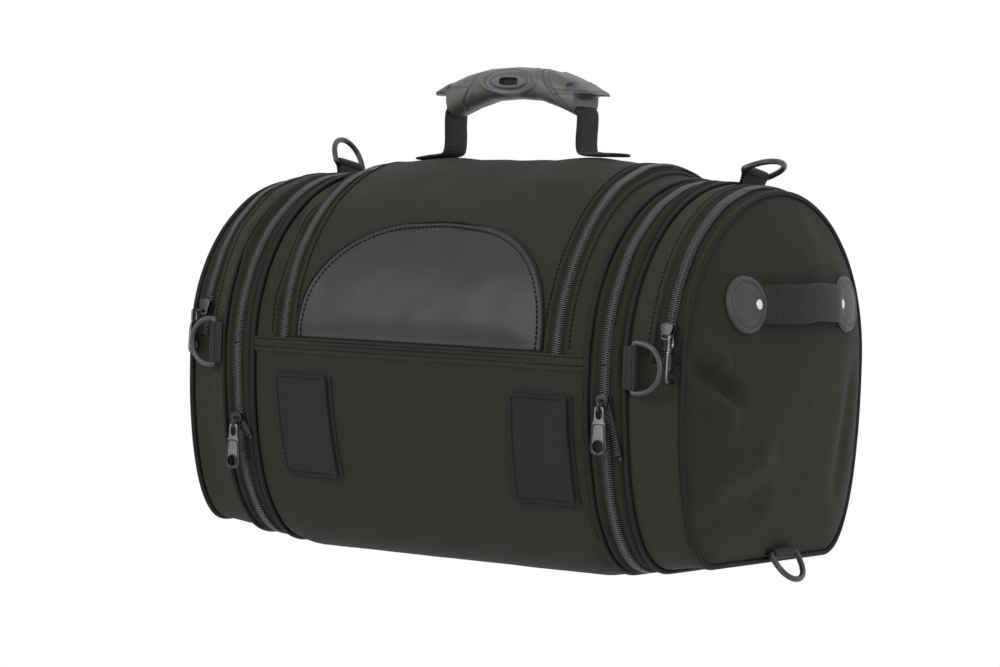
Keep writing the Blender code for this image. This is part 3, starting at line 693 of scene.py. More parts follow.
def woven(name, colour, pitch, roughness, depth, twill=True, mottle=0.16, sheen=0.03):
    """Cloth: two sets of threads, or slanting twill lines, with uneven dye."""
    m = Nodes(name, colour, roughness, Sheen_Weight=sheen, Sheen_Roughness=0.45, Specular_IOR_Level=0.12)
    scale = WAVE_CYCLE / pitch
    uv = m.coords("UV")
    warp = m.wave(uv, scale, "X")
    weft = m.wave(uv, scale, "Y")
    if twill:
        slanted = m.wave(m.coords("UV", turn=math.radians(38)), scale * 0.8, "X", 0.4)
        weave = m.weigh(slanted, 0.7, m.math("MULTIPLY", warp, weft), 0.3)
    else:
        weave = m.math("MAXIMUM", warp, weft)
    place = m.coords("Object")
    cloud = m.noise(place, 16.0, 4.0)
    fleck = m.noise(place, 800.0, 2.0)
    mix = m.weigh(cloud, 0.22, fleck, 0.38)
    mix = m.math("ADD", mix, m.math("MULTIPLY", weave, 0.40))
    m.tint(m.ramp(mix, 0.22, 0.78), shade(colour, 1 - mottle), shade(colour, 1 + mottle))
    m.rough(cloud, roughness - 0.06, roughness + 0.06)
    m.relief(weave, depth)
    m.relief(m.noise(place, 120.0, 3.0), depth, 0.25)
    return m.mat


def webbing_material(name, colour, rib):
    """Ribbed strap: close ribs across it, finer threads along it."""
    m = Nodes(name, colour, 0.62, Sheen_Weight=0.03, Sheen_Roughness=0.4, Specular_IOR_Level=0.22)
    uv = m.coords("UV")
    ribs = m.wave(uv, WAVE_CYCLE / rib, "X")
    threads = m.wave(uv, WAVE_CYCLE / (rib * 0.55), "Y", 0.5)
    weave = m.weigh(ribs, 0.75, threads, 0.25)
    fleck = m.noise(m.coords("Object"), 300.0, 2.0)
    mix = m.weigh(weave, 0.6, fleck, 0.4)
    m.tint(m.ramp(mix, 0.2, 0.85), shade(colour, 0.35), shade(colour, 1.75))
    m.relief(weave, 0.00035)
    m.relief(fleck, 0.00008)
    return m.mat


def leathery(name, colour, roughness, grain, depth, mottle=0.10, gloss=0.5):
    """Vinyl or leather: pebble grain, slow waves, a little uneven gloss."""
    m = Nodes(name, colour, roughness, Specular_IOR_Level=gloss)
    place = m.coords("Object")
    pebble = m.ramp(m.cells(place, 1 / grain), 0.0, 0.35)
    slow = m.noise(place, 22.0, 3.0)
    m.tint(slow, shade(colour, 1 - mottle), shade(colour, 1 + mottle))
    m.rough(m.weigh(slow, 0.7, pebble, 0.3), roughness - 0.6 * mottle, roughness + 0.8 * mottle)
    m.relief(pebble, depth)
    m.relief(m.noise(place, 600.0, 2.0), depth * 0.6)
    return m.mat


def coated(name, colour, roughness, metallic=0.0, wear=0.15):
    """Painted or bare metal and hard plastic, with fine scratches and dulled patches."""
    m = Nodes(name, colour, roughness, Metallic=metallic)
    place = m.coords("Object")
    dull = m.noise(place, 90.0, 4.0)
    fine = m.noise(m.coords("Object", scale=(1.0, 1.0, 6.0)), 900.0, 2.0)
    m.tint(dull, shade(colour, 1 - wear), shade(colour, 1 + wear))
    m.rough(m.weigh(dull, 0.6, fine, 0.4), roughness - 0.08, roughness + 0.12)
    m.relief(fine, 0.00003)
    return m.mat


def pile(name, colour):
    """Hook-and-loop fabric: a dull fuzz of tiny loops."""
    m = Nodes(name, colour, 0.95, Sheen_Weight=0.04, Sheen_Roughness=0.6, Specular_IOR_Level=0.10)
    place = m.coords("Object")
    fuzz = m.noise(place, 1500.0, 3.0, 0.7)
    patchy = m.noise(place, 60.0, 3.0)
    mix = m.weigh(fuzz, 0.6, patchy, 0.4)
    m.tint(m.ramp(mix, 0.25, 0.75), shade(colour, 0.75), shade(colour, 1.30))
    m.relief(fuzz, 0.0004)
    m.relief(patchy, 0.0006)
    return m.mat


FABRIC = woven("bag_fabric", (0.0190, 0.0190, 0.0155), 0.0011, 0.80, 0.00020, mottle=0.55)
FABRIC_BAND = woven("band_fabric", (0.0225, 0.0225, 0.0185), 0.0011, 0.80, 0.00020, mottle=0.55)
LINING = woven("lining_fabric", (0.012, 0.012, 0.011), 0.0007, 0.72, 0.00008, twill=False)
TAPE = woven("zip_tape", (0.0150, 0.0150, 0.0126), 0.0007, 0.84, 0.00016, twill=False, sheen=0.02)
WEB = webbing_material("strap_webbing", (0.0115, 0.0115, 0.0100), LOOP_RIB)
WEB_FINE = webbing_material("grab_strap_webbing", (0.0135, 0.0137, 0.0120), RIB)
VINYL = leathery("panel_vinyl", (0.0095, 0.0102, 0.0086), 0.46, 0.0008, 0.00003, mottle=0.03, gloss=0.36)
PATCH = leathery("patch_leather", (0.0190, 0.0197, 0.0175), 0.42, 0.0007, 0.00006)
PIPE = leathery("piping_vinyl", (0.0090, 0.0092, 0.0078), 0.55, 0.0006, 0.00006, gloss=0.14)
COIL = coated("zip_coil_nylon", (0.045, 0.046, 0.042), 0.28, wear=0.20)
THREAD = woven("thread", (0.0040, 0.0040, 0.0034), 0.0004, 0.80, 0.00005, twill=False)
PAD_THREAD = woven("pad_thread", (0.0075, 0.0078, 0.0072), 0.0004, 0.80, 0.00005, twill=False)
METAL = coated("zip_metal", (0.042, 0.043, 0.042), 0.34, 1.0, wear=0.20)
PULL_METAL = coated("pull_metal", (0.150, 0.153, 0.148), 0.36, 1.0, wear=0.12)
NICKEL = coated("rivet_nickel", (0.70, 0.68, 0.62), 0.24, 1.0, wear=0.10)
BLACK_WIRE = coated("ring_black_coat", (0.020, 0.0205, 0.0195), 0.33, wear=0.20)
LOOP_PILE = pile("hook_and_loop", (0.0135, 0.0150, 0.0138))
BOARD = coated("stiffener_board", (0.05, 0.05, 0.05), 0.6)
RUBBER = leathery("grip_rubber", (0.056, 0.059, 0.052), 0.42, 0.0005, 0.00003, mottle=0.06)
# Near-black copy of the grip rubber for the floor of the grip's middle slot: painted shade in that recess.
RUBBER_PAINTED_SHADE = leathery("grip_recess_painted_shade", (0.008, 0.0085, 0.008), 0.60, 0.0005, 0.00003, gloss=0.2)


# ------------------------------------------------------------------ centre compartment
LID_EDGE_X = 0.1032        # rolled edges of the fabric either side of the lid zip
OPENING_X = 0.1154
LID_FRONT, LID_REAR = 2.1, 177.0       # degrees
OPENING_FRONT, OPENING_REAR = 1.9, 181.6
ZIP_REAR = 179.2
LID_CORNER = 0.010
BAND_LOW_Z, BAND_HIGH_Z = 0.1312, 0.1418
BAND_HALF, BAND_ROW_HALF = 0.1322, 0.1318


def spaced(stops, step, edge):
    """Grid lines through the stops, closer together beside each of them."""
    values = list(stops)
    for low, high in zip(stops, stops[1:]):
        count = max(int(math.ceil((high - low) / step)), 1)
        values += list(np.linspace(low, high, count + 1))
        for k in (1.0, 2.2, 4.0):
            if high - low > 3 * edge * k:
                values += [low + edge * k, high - edge * k]
    return np.unique(np.round(values, 7))


def hem(distance, drop=0.0016):
    """Offset of a folded and topstitched edge, by distance from it."""
    return (-drop * (1 - smooth(distance / 0.0017)) + 0.00060 * bump(distance - 0.0019, 0.0012)
            - 0.00055 * bump(distance - STITCH_IN, 0.0007))


def tuck(distance):
    """Offset of fabric that runs down into a piped seam."""
    return -0.0017 * (1 - smooth(distance / 0.0030))


def arc(degrees):
    """Length round the bag of that many degrees."""
    return np.radians(degrees) * CENTRE_R


def cut_out(cut, degrees, front, rear):
    """Rule for grid: leaves out the squares that cut(i) picks, from front round to rear."""
    def keep(i, j):
        return ~(cut(i) & (degrees[j] >= front - NEAR) & (degrees[j] < rear - NEAR))
    return keep


def centre_shell():
    """Main compartment's wall, with the opening that the lid closes."""
    xs = spaced([-MAIN_PIPING_X, -OPENING_X, OPENING_X, MAIN_PIPING_X], 0.0032, 0.0006)
    degrees = spaced([0.0, OPENING_FRONT, OPENING_REAR, 360.0], 1.6, 0.3)[:-1]
    x, a = crossed(xs, degrees)
    beside = (a > OPENING_FRONT) & (a < OPENING_REAR)
    side_hem = np.where(beside, hem(np.maximum(np.abs(x) - OPENING_X, 0.0)), 0.0)
    to_edge = arc(np.minimum((a - OPENING_REAR) % 360, (OPENING_FRONT - a) % 360))
    end_hem = np.where(~beside & (np.abs(x) < OPENING_X), hem(to_edge, 0.0012), 0.0)
    points, _ = bag(x, a, tuck(MAIN_PIPING_X - np.abs(x)) + side_hem + end_hem)
    keep = cut_out(lambda i: np.maximum(np.abs(xs[i]), np.abs(xs[i + 1])) <= OPENING_X + NEAR,
                   degrees, OPENING_FRONT, OPENING_REAR)
    shell = grid("centre_shell", points, [FABRIC, LINING], closed=True, keep=keep)
    thicken(shell, FABRIC_THICK)
    attach(shell, "centre", ["main_shell"])


def lid_half(a):
    """Half width of the lid's fabric, rounded off at its rear corners."""
    left = np.clip(LID_CORNER - arc(LID_REAR - a), 0.0, LID_CORNER)
    return LID_EDGE_X - LID_CORNER + np.sqrt(np.maximum(LID_CORNER ** 2 - left ** 2, 0.0))


def lid_shell():
    """Foam-lined cover of the opening."""
    share = spaced([-1.0, 1.0], 0.032, 0.006)
    degrees = spaced([LID_FRONT, LID_REAR], 1.4, 0.3)
    s, a = crossed(share, degrees)
    x = s * lid_half(a)
    edge = np.minimum(lid_half(a) - np.abs(x), arc(LID_REAR - a))
    points, _ = lid(x, a, hem(edge, 0.0013))
    cover = grid("lid_cover", points, [FABRIC, LINING])
    thicken(cover, FABRIC_THICK)
    attach(cover, "lid", ["lid_panel"])


def seam_band():
    """Doubled strip of fabric across the front, under the lid."""
    low, high = angle_at(BAND_LOW_Z), angle_at(BAND_HIGH_Z)
    xs = spaced([-BAND_HALF, BAND_HALF], 0.0030, 0.0006)
    x, a = crossed(xs, spaced([low, high], 0.7, 0.22))
    edge = np.minimum(arc(a - low), arc(high - a))
    lift = 0.0013 * smooth(edge / 0.0009) + 0.0002 * bump(edge - 0.0035, 0.002)
    lift = lift + 0.0005 * smooth(arc(a - low) / 0.008) - 0.0002
    points, _ = bag(x, a, lift + 0.00025 * ripple(x, 0, a * ROUND, 0.012, 21))
    band = grid("seam_band", points, FABRIC_BAND)
    thicken(band, 0.0009, inner=0)
    attach(band, "centre", ["front_band"])
    along = np.linspace(-BAND_ROW_HALF, BAND_ROW_HALF, 300)
    rows = [bag(along, angle_at(z), lift) for z, lift in ((0.1402, 0.00165), (0.1350, 0.0014))]
    stitch_rows("seam_band_stitches", rows, THREAD, "centre")


PANEL_HALF = 0.0985
PANEL_LOW, PANEL_HIGH = 2.9, 44.0
PANEL_POWER = 2.35


def oval_edge(t):
    """Half width of the vinyl panel at a share t of its height."""
    return PANEL_HALF * np.maximum(1 - t ** PANEL_POWER, 0.0) ** (1 / PANEL_POWER)


def oval_path(inset, lift):
    """Along the panel's curved edge, from its left foot over to its right."""
    turn = np.linspace(0, math.pi, 160)
    x = -(PANEL_HALF - inset) * np.sign(np.cos(turn)) * np.abs(np.cos(turn)) ** (2 / PANEL_POWER)
    height = 1 - inset / arc(PANEL_HIGH - PANEL_LOW)
    t = height * np.sin(turn) ** (2 / PANEL_POWER)
    return lid(x, PANEL_LOW + (PANEL_HIGH - PANEL_LOW) * t, lift)


def vinyl_panel():
    """D-shaped panel on the lid's front, with its piping and stitches."""
    t_lines = np.sin(np.linspace(0, math.pi / 2, 56)) * 0.9995
    t_lines = np.unique(np.concatenate([t_lines, [0.008, 0.016]]))
    share = spaced([-1.0, 1.0], 0.036, 0.007)
    s, t = crossed(share, t_lines)
    x = s * oval_edge(t)
    a = PANEL_LOW + (PANEL_HIGH - PANEL_LOW) * t
    side = oval_edge(t) - np.abs(x)
    top = arc(PANEL_HIGH - a) * (1 - 0.55 * np.abs(s))
    edge = np.minimum(np.minimum(side, top), arc(a - PANEL_LOW) * 2)
    puff = 0.0011 * smooth(edge / 0.0016) + 0.0012 * smooth((edge - 0.004) / 0.030)
    puff = puff - 0.00030 * bump(edge - 0.0042, 0.0010)
    puff = puff + 0.00025 * ripple(x, a * ROUND, 0, 0.040, 31) * smooth((edge - 0.005) / 0.01)
    points, _ = lid(x, a, puff)
    panel = grid("lid_vinyl_panel", points, VINYL)
    thicken(panel, 0.0010, inner=0)
    attach(panel, "lid", ["lid_front_panel"])
    path, normal = oval_path(0.0, 0.00085)
    attach(loft("lid_panel_piping", path, ring_outline(0.0008, 8), PIPE, normal), "lid")
    stitch_rows("lid_panel_stitches", [oval_path(0.0042, 0.00115)], THREAD, "lid")


def along_surface(x, degrees, widths, offsets, wall):
    """Strip that follows a path on the bag, as point rows for each of its widths."""
    flat = np.stack([x, arc(degrees)], -1)
    tangent = np.gradient(flat, axis=0)
    tangent /= np.linalg.norm(tangent, axis=1, keepdims=True)
    across = np.stack([tangent[:, 1], -tangent[:, 0]], -1)
    widths = np.asarray(widths, float)
    px = x[:, None] + across[:, :1] * widths[None]
    pa = degrees[:, None] + np.degrees(across[:, 1:] * widths[None] / CENTRE_R)
    return wall(px, pa, np.broadcast_to(np.asarray(offsets, float), px.shape))


def lid_zip_path():
    """Round the lid: up the left side, across the back, down the right side."""
    corner = np.degrees(LID_CORNER / CENTRE_R)
    legs = np.arange(LID_FRONT, ZIP_REAR - corner, 0.9)
    turn = np.linspace(0, math.pi / 2, 9)[1:-1]
    bend_x = -LID_ZIP_X + LID_CORNER * (1 - np.cos(turn))
    bend_a = ZIP_REAR - corner + corner * np.sin(turn)
    rear_x = np.linspace(-LID_ZIP_X + LID_CORNER, 0, 44)
    x = np.concatenate([np.full(len(legs), -LID_ZIP_X), bend_x, rear_x])
    a = np.concatenate([legs, bend_a, np.full(len(rear_x), ZIP_REAR)])
    return np.concatenate([x, -x[-2::-1]]), np.concatenate([a, a[-2::-1]])


def lid_zip():
    """Tapes and coil between the lid and the shell, and the stitches of both rolled edges."""
    x, a = lid_zip_path()
    for name, side, body, replaced in (("lid", 1, "lid", []), ("shell", -1, "centre", ["lid_zip"])):
        widths = np.array([0.0004, 0.0016, 0.0034, 0.0046, 0.0062, 0.0082, 0.0100]) * side
        if side < 0:
            widths = widths[::-1]
        offsets = -0.0012 + 0.0002 * np.cos(widths * 1800)
        points, _ = along_surface(x, a, widths, offsets, bag)
        tape = grid("lid_zip_tape_" + name, points, TAPE, flip=True)
        thicken(tape, TAPE_THICK, inner=0)
        attach(tape, body, replaced)
        points, normals = bag(x, a, -0.0010)
        teeth("lid_zip_coil_" + name, points, normals, side, COIL, body)
    rows = []
    path = np.linspace(4.0, 168.0, 240)
    for wall, row_x in ((lid, LID_EDGE_X - STITCH_IN), (bag, OPENING_X + STITCH_IN)):
        rows += [wall(np.full(len(path), side * row_x), path, STITCH_LIFT) for side in (-1, 1)]
    stitch_rows("lid_edge_stitches", rows[:2], THREAD, "lid")
    stitch_rows("opening_edge_stitches", rows[2:], THREAD, "centre")


# ------------------------------------------------------------------ pipings and expansion zips
def full_turn(step=1.2):
    """Degrees once round the bag."""
    return np.arange(0.0, 360.0, step)


def piping(name, x, body, replaced):
    """Covered cord in a seam round the bag."""
    a = full_turn()
    wobble = 0.00025 * ripple(a * 0.004, 0, x * 90, 0.05, 41)
    path, normal = bag(x + wobble, a, PIPING_R * 0.55)
    cord = loft(name, path, ring_outline(PIPING_R, 10), PIPE, normal, closed=True)
    attach(cord, body, replaced)


TAPE_EDGE = 0.0134
GUSSET_X = (0.1385, 0.1555)


def expansion_zip(name, side):
    """Two rows of folded tape round the bag, with half of the coil on each."""
    a = full_turn(1.5)
    ring = np.append(full_turn(), 360.0)
    for half, label, body, replaced in (
            (-1, "inner_" + name, "centre", []),
            (1, "outer_" + name, "end_pocket_" + name, ["expansion_zip_" + name])):
        widths = np.concatenate([[0.0004, 0.0018, 0.0036], np.linspace(0.0046, TAPE_EDGE, 13)]) * half
        x = side * (EXPANSION_ZIP_X + widths)
        gx, ga = crossed(np.sort(x), a)
        distance = np.abs(np.abs(gx) - EXPANSION_ZIP_X)
        rise = smooth((distance - 0.004) / 0.004)
        offset = -0.0004 + 0.0006 * rise - 0.0006 * smooth((distance - 0.0098) / 0.003)
        offset = offset + 0.0005 * ripple(gx * 3, ga * ROUND, 0, 0.016, 51)
        offset = offset + 0.0013 * bump(distance - 0.0082, 0.0013) - 0.0006 * bump(distance - 0.0060, 0.0009)
        if half > 0:
            loose = smooth((ga - 12) / 25) * smooth((120 - ga) / 30) * rise
            loose = loose * smooth((TAPE_EDGE - distance) / 0.003)
            offset = offset + 0.0016 * loose * (ripple(ga * ROUND, 0, 0, 0.022, 57) + 0.4)
        tape = grid("expansion_tape_" + label, bag(gx, ga, offset)[0], TAPE, closed=True)
        thicken(tape, TAPE_THICK, inner=0)
        attach(tape, body, replaced)
        points, normals = bag(side * EXPANSION_ZIP_X, ring, -0.0002)
        teeth("expansion_coil_" + label, points, normals, half * side, COIL, body)
    pleats(name, side)


def pleats(name, side):
    """The gusset, folded flat under the zip, which on the bag opens out with the end pocket; here it is baked
    in place on no body.
    """
    folds = 6
    share = np.linspace(0, 1, folds * 4 + 1)
    x = side * (GUSSET_X[0] + (GUSSET_X[1] - GUSSET_X[0]) * share)
    depth = -0.0030 - 0.0045 * (0.5 - 0.5 * np.cos(share * folds * 2 * math.pi))
    order = np.argsort(x)
    gx, ga = crossed(x[order], full_turn(2.5))
    offset = depth[order][:, None] + 0.0004 * ripple(gx, ga * ROUND, 0, 0.01, 61)
    points, _ = bag(gx, ga, offset)
    sleeve = grid("expansion_gusset_" + name + "_fabric", points, [FABRIC, LINING], closed=True)
    thicken(sleeve, 0.0006)
    attach(sleeve, None, ["expansion_gusset_" + name],
           blend=("centre", "end_pocket_" + name, (side * GUSSET_X[0], 0, 0), (side * GUSSET_X[1], 0, 0)))


# ------------------------------------------------------------------ end pockets
BAND_START_X = 0.1606
SLIT_X = 0.1772            # rolled edge of the band beside the end zip
LIP_X = 0.1921             # and of the door
RIM_X = 0.1955             # where cloth runs under the end piping
SLIT_LOW, SLIT_HIGH = 1.2, 178.8       # degrees
FOLD = 0.010               # height the door's fabric bends over on the bag; attach does not apply the bend


def fold_blend(name, side):
    return ("end_pocket_" + name, "door_" + name,
            (side * HALF, 0, AXIS_Z - FOLD), (side * HALF, 0, AXIS_Z + FOLD))


def end_band(name, side):
    """Cloth round the pocket, with a slit for the end zip."""
    xs = np.sort(side * spaced([BAND_START_X, SLIT_X, RIM_X], 0.0024, 0.0006))
    degrees = spaced([0.0, SLIT_LOW, SLIT_HIGH, 360.0], 1.6, 0.3)[:-1]
    x, a = crossed(xs, degrees)
    ax = np.abs(x)
    beside = (a > SLIT_LOW) & (a < SLIT_HIGH)
    offset = 0.7 * tuck(ax - BAND_START_X) + np.where(beside & (ax <= SLIT_X), hem(SLIT_X - ax), 0.0)
    offset = offset + np.where(beside, 0.0, tuck(RIM_X - ax))
    points, _ = bag(x, a, offset)
    keep = cut_out(lambda i: np.minimum(np.abs(xs[i]), np.abs(xs[i + 1])) >= SLIT_X - NEAR,
                   degrees, SLIT_LOW, SLIT_HIGH)
    band = grid("end_band_" + name + "_fabric", points, [FABRIC_BAND, LINING], closed=True, keep=keep)
    thicken(band, FABRIC_THICK * 0.7)
    attach(band, "end_pocket_" + name, ["end_band_" + name])
    row = bag(side * (SLIT_X - STITCH_IN), np.linspace(3.0, 177.0, 240), STITCH_LIFT)
    stitch_rows("end_band_stitches_" + name, [row], THREAD, "end_pocket_" + name)


def end_zip(name, side):
    """Tapes and coil of the arch that opens the end door."""
    a = np.arange(SLIT_LOW - 0.6, SLIT_HIGH + 0.7, 1.2)
    halves = (("pocket", -1, SLIT_X + 0.0002 - 0.0030, "end_pocket_" + name, ["end_zip_" + name], None),
              ("door", 1, LIP_X + 0.0025, None, [], fold_blend(name, side)))
    path = np.linspace(SLIT_LOW, SLIT_HIGH, 320)
    for label, half, edge, body, replaced, blend in halves:
        inner = END_ZIP_X + 0.0004 * half
        gx, ga = crossed(np.sort(side * np.linspace(inner, edge, 7)), a)
        points, _ = bag(gx, ga, -0.0013 + 0.0003 * ripple(gx * 3, ga * ROUND, 0, 0.014, 71))
        tape = grid("end_zip_tape_%s_%s" % (label, name), points, TAPE)
        thicken(tape, TAPE_THICK, inner=0)
        attach(tape, body, replaced, blend)
        points, normals = bag(side * END_ZIP_X, path, -0.0010)
        teeth("end_zip_coil_%s_%s" % (label, name), points, normals, half * side, COIL, body, blend)


def door_lip(name, side):
    """Strip of the door's edge between the zip tape and the end panel's piping."""
    xs = np.sort(side * spaced([LIP_X, RIM_X], 0.0009, 0.0004))
    x, a = crossed(xs, np.arange(0.6, 179.5, 1.4))
    ax = np.abs(x)
    points, _ = bag(x, a, -0.0013 * (1 - smooth((ax - LIP_X) / 0.0012)) + 0.4 * tuck(RIM_X + 0.0002 - ax))
    lip = grid("door_lip_" + name, points, [FABRIC_BAND, LINING])
    thicken(lip, 0.0018)
    attach(lip, None, [], fold_blend(name, side))


def polar(name, points, middle, mats, flip):
    """A round sheet in the YZ plane's view: rings of points and the point they close on."""
    n, m = points.shape[:2]
    verts = np.concatenate([points.reshape(-1, 3), [middle]])
    faces = []
    for i in range(n - 1):
        for j in range(m):
            k = (j + 1) % m
            faces.append([i * m + j, (i + 1) * m + j, (i + 1) * m + k, i * m + k])
    faces += [[(n - 1) * m + j, n * m, (n - 1) * m + (j + 1) % m] for j in range(m)]
    if flip:
        faces = [face[::-1] for face in faces]
    loops = np.concatenate([verts[face, 1:] for face in faces])
    return add_mesh(name, verts, faces, mats, loops)


def end_panel(name, side):
    """Domed end: the door above the fold and the fixed panel below it, one cloth."""
    share = np.concatenate([[1.0, 0.992, 0.980, 0.968, 0.950], np.linspace(0.93, 0.03, 42)])
    degrees = full_turn(1.8)
    s, a = crossed(share, degrees)
    points, _ = dome(side, s, a, -0.0009 * (1 - smooth((1 - s) / 0.030)))
    middle = dome(side, np.array([0.001]), np.array([90.0]))[0][0]
    panel = polar("end_panel_" + name + "_fabric", points, middle, [FABRIC, LINING], side < 0)
    thicken(panel, FABRIC_THICK)
    attach(panel, None, ["end_panel_" + name, "end_door_" + name], fold_blend(name, side))
    path, normal = bag(side * (HALF + 0.0003), full_turn(), 0.0)
    section = ring_outline(PIPING_R * 1.05, 10)
    cord = loft("end_panel_piping_" + name, path, section, PIPE, normal, closed=True)
    attach(cord, None, [], fold_blend(name, side))


# ------------------------------------------------------------------ webbing
RIB_STEPS = 3.6            # path points for each rib


def ribs(path, depth=0.10, pitch=RIB):
    """Width and thickness factors that raise ribs across a strap."""
    wave = np.abs(np.sin(distances(path) * math.pi / pitch))
    return np.stack([1 + 0.006 * wave, 1 - depth + depth * 2 * wave], -1)


def refine(path):
    """The path with points close enough together to carry ribs, ends kept."""
    wanted, length = resample(path, RIB / RIB_STEPS)
    wanted = np.concatenate([[0.0], wanted, [length[-1]]])
    return follow(np.asarray(path, float), wanted, length)


def rounded(path, passes=3):
    """The path with its corners cut, ends kept."""
    path = np.asarray(path, float)
    for _ in range(passes):
        inner = np.stack([path[:-1] * 0.75 + path[1:] * 0.25, path[:-1] * 0.25 + path[1:] * 0.75], 1)
        path = np.concatenate([path[:1], inner.reshape(-1, path.shape[1]), path[-1:]])
    return path


def rounded_loop(outline):
    """A closed outline with its corners cut twice."""
    outline = np.asarray(outline, float)
    for _ in range(2):
        after = np.roll(outline, -1, 0)
        cuts = np.stack([outline * 0.75 + after * 0.25, outline * 0.25 + after * 0.75], 1)
        outline = cuts.reshape(-1, outline.shape[1])
    return outline


# ------------------------------------------------------------------ carry handle
HANDLE_WIDTH = 0.025
LEG_THICK = 0.0024
SHOULDER_Z, STRAP_TOP_Z = 0.2985, 0.3115
TAB_LEFT_X, TAB_RIGHT_X = -0.0850, 0.0735
GRIP_HALF = 0.0690
HANDLE_TURN = ("lid", "carry_handle", (HANDLE_X, 0, 0.2665), (HANDLE_X, 0, 0.2860))


def lid_top(x):
    """Height of the lid's crown."""
    return lid(np.array([x]), np.array([90.0]))[0][0, 2]


def handle_strap():
    """One length of webbing: sewn to the lid, up a leg, through the grip and down again."""
    left, right = HANDLE_X - LEG_X, HANDLE_X + LEG_X
    path = [(TAB_LEFT_X, lid_top(TAB_LEFT_X) + 0.0013), (left - 0.014, lid_top(left - 0.014) + 0.0016),
            (left - 0.0030, lid_top(left) + 0.0015), (left - 0.0004, lid_top(left) + 0.0040),
            (left + 0.0002, 0.2770), (left - 0.0006, 0.2880), (left, SHOULDER_Z)]
    for i in range(1, 8):
        rise = math.sin(math.pi * i / 8) ** 0.6
        path.append((HANDLE_X + LEG_X * (i / 4 - 1), SHOULDER_Z + (STRAP_TOP_Z - SHOULDER_Z) * rise))
    path += [(right, SHOULDER_Z), (right + 0.0007, 0.2900), (right - 0.0002, 0.2780),
             (right + 0.0004, lid_top(right) + 0.0042), (right + 0.0032, lid_top(right) + 0.0017),
             (right + 0.015, lid_top(right + 0.015) + 0.0022), (TAB_RIGHT_X, lid_top(TAB_RIGHT_X) + 0.0034)]
    path = refine(rounded([(x, 0.0, z) for x, z in path]))
    up = np.cross(frames_along(path)[0], (0.0, 1.0, 0.0))
    section = strap_outline(HANDLE_WIDTH, LEG_THICK)
    strap = loft("handle_strap", path, section, WEB_FINE, up, scale=ribs(path))
    attach(strap, None, ["handle_webbing", "handle_tab_left", "handle_tab_right"], HANDLE_TURN)
    for name, x, height in (("left", -0.0735, 0.0028), ("right", 0.0590, 0.0030)):
        place = Matrix.Translation((x, 0.0, lid_top(x) + height))
        rivet("handle_rivet_" + name, place, 0.0030, 0.0011, "lid")


# rivet's section as shares of its radius and height, from the rim's first ring to its foot
RIVET_SECTION = ((0.30, 0.97), (0.58, 0.84), (0.80, 0.60), (0.90, 0.42), (0.93, 0.34), (0.97, 0.38),
                 (1.0, 0.30), (1.0, 0.12), (0.96, -0.10))


def rivet(name, matrix, radius, height, body):
    """Domed cap with a rolled rim, standing on the matrix's XY plane."""
    sides = 32
    points = [(0, 0, height)]
    for r, z in RIVET_SECTION:
        for angle in turns(sides):
            points.append((radius * r * math.cos(angle), radius * r * math.sin(angle), height * z))
    faces = [[0, 1 + s, 1 + (s + 1) % sides] for s in range(sides)]
    for ring in range(len(RIVET_SECTION) - 1):
        for s in range(sides):
            a, b = 1 + ring * sides + s, 1 + ring * sides + (s + 1) % sides
            faces.append([a, a + sides, b + sides, b])
    last = 1 + (len(RIVET_SECTION) - 1) * sides
    faces.append([last + s for s in range(sides)][::-1])
    attach(add_mesh(name, placed(matrix, points), faces, NICKEL), body)


# share of the half length, height of the top and of the underside, half width
GRIP_STATIONS = np.array((
    (0.0, 0.3260, 0.3046, 0.0160),
    (0.30, 0.3248, 0.3032, 0.0162),
    (0.55, 0.3210, 0.2978, 0.0160),
    (0.70, 0.3172, 0.2934, 0.0152),
    (0.745, 0.3160, 0.2922, 0.0149),
    (0.754, 0.3157, 0.2930, 0.0147),
    (0.760, 0.3154, 0.3040, 0.0145),
    (0.80, 0.3141, 0.3054, 0.0138),
    (0.86, 0.3118, 0.3062, 0.0128),
    (0.915, 0.3100, 0.3066, 0.0112),
    (0.925, 0.3090, 0.3067, 0.0098),
    (0.975, 0.3080, 0.3064, 0.0060),
    (1.0, 0.3076, 0.3066, 0.0028),
))
OVAL_Z = 0.3157
SLOT_HALF = (0.0072, 0.0023)
RELIEF_GAIN = 1.5
# start and end of each groove or rib on the grip's face (x, z), its depth, its width
GROOVES = (
    ((0.0235, 0.3230), (0.0440, 0.2950), 0.00075, 0.00060),
    ((0.0275, 0.3225), (0.0385, 0.3075), 0.00060, 0.00055),
    ((0.0385, 0.3075), (0.0465, 0.2960), 0.00060, 0.00055),
    ((0.0360, 0.3098), (0.0640, 0.3090), 0.00050, 0.00045),
    ((0.0385, 0.3072), (0.0640, 0.3066), 0.00045, 0.00045),
    ((-0.0245, 0.3225), (-0.0340, 0.3080), 0.00065, 0.00060),
    ((-0.0340, 0.3080), (-0.0415, 0.2950), 0.00065, 0.00060),
    ((-0.0530, 0.3118), (-0.0345, 0.3112), 0.00050, 0.00045),
    ((0.0175, 0.3245), (0.0215, 0.3190), -0.00050, 0.0010),
    ((0.0300, 0.3222), (0.0445, 0.3165), -0.00070, 0.0011),
    ((-0.0215, 0.3215), (-0.0320, 0.3060), -0.00030, 0.0012),
)


def oval(dx, z, half_x, half_z):
    """0 on an ellipse on the grip's face, positive inside, in metres of its short half."""
    return (1 - np.hypot(dx / half_x, (z - OVAL_Z) / half_z)) * half_z


def line_distance(dx, z, start, end):
    """Distance from a line drawn on the grip's face."""
    start, end = np.array(start), np.array(end)
    along = end - start
    length = np.hypot(*along)
    t = np.clip(((dx - start[0]) * along[0] + (z - start[1]) * along[1]) / length ** 2, 0, 1)
    return np.hypot(dx - start[0] - t * along[0], z - start[1] - t * along[1])


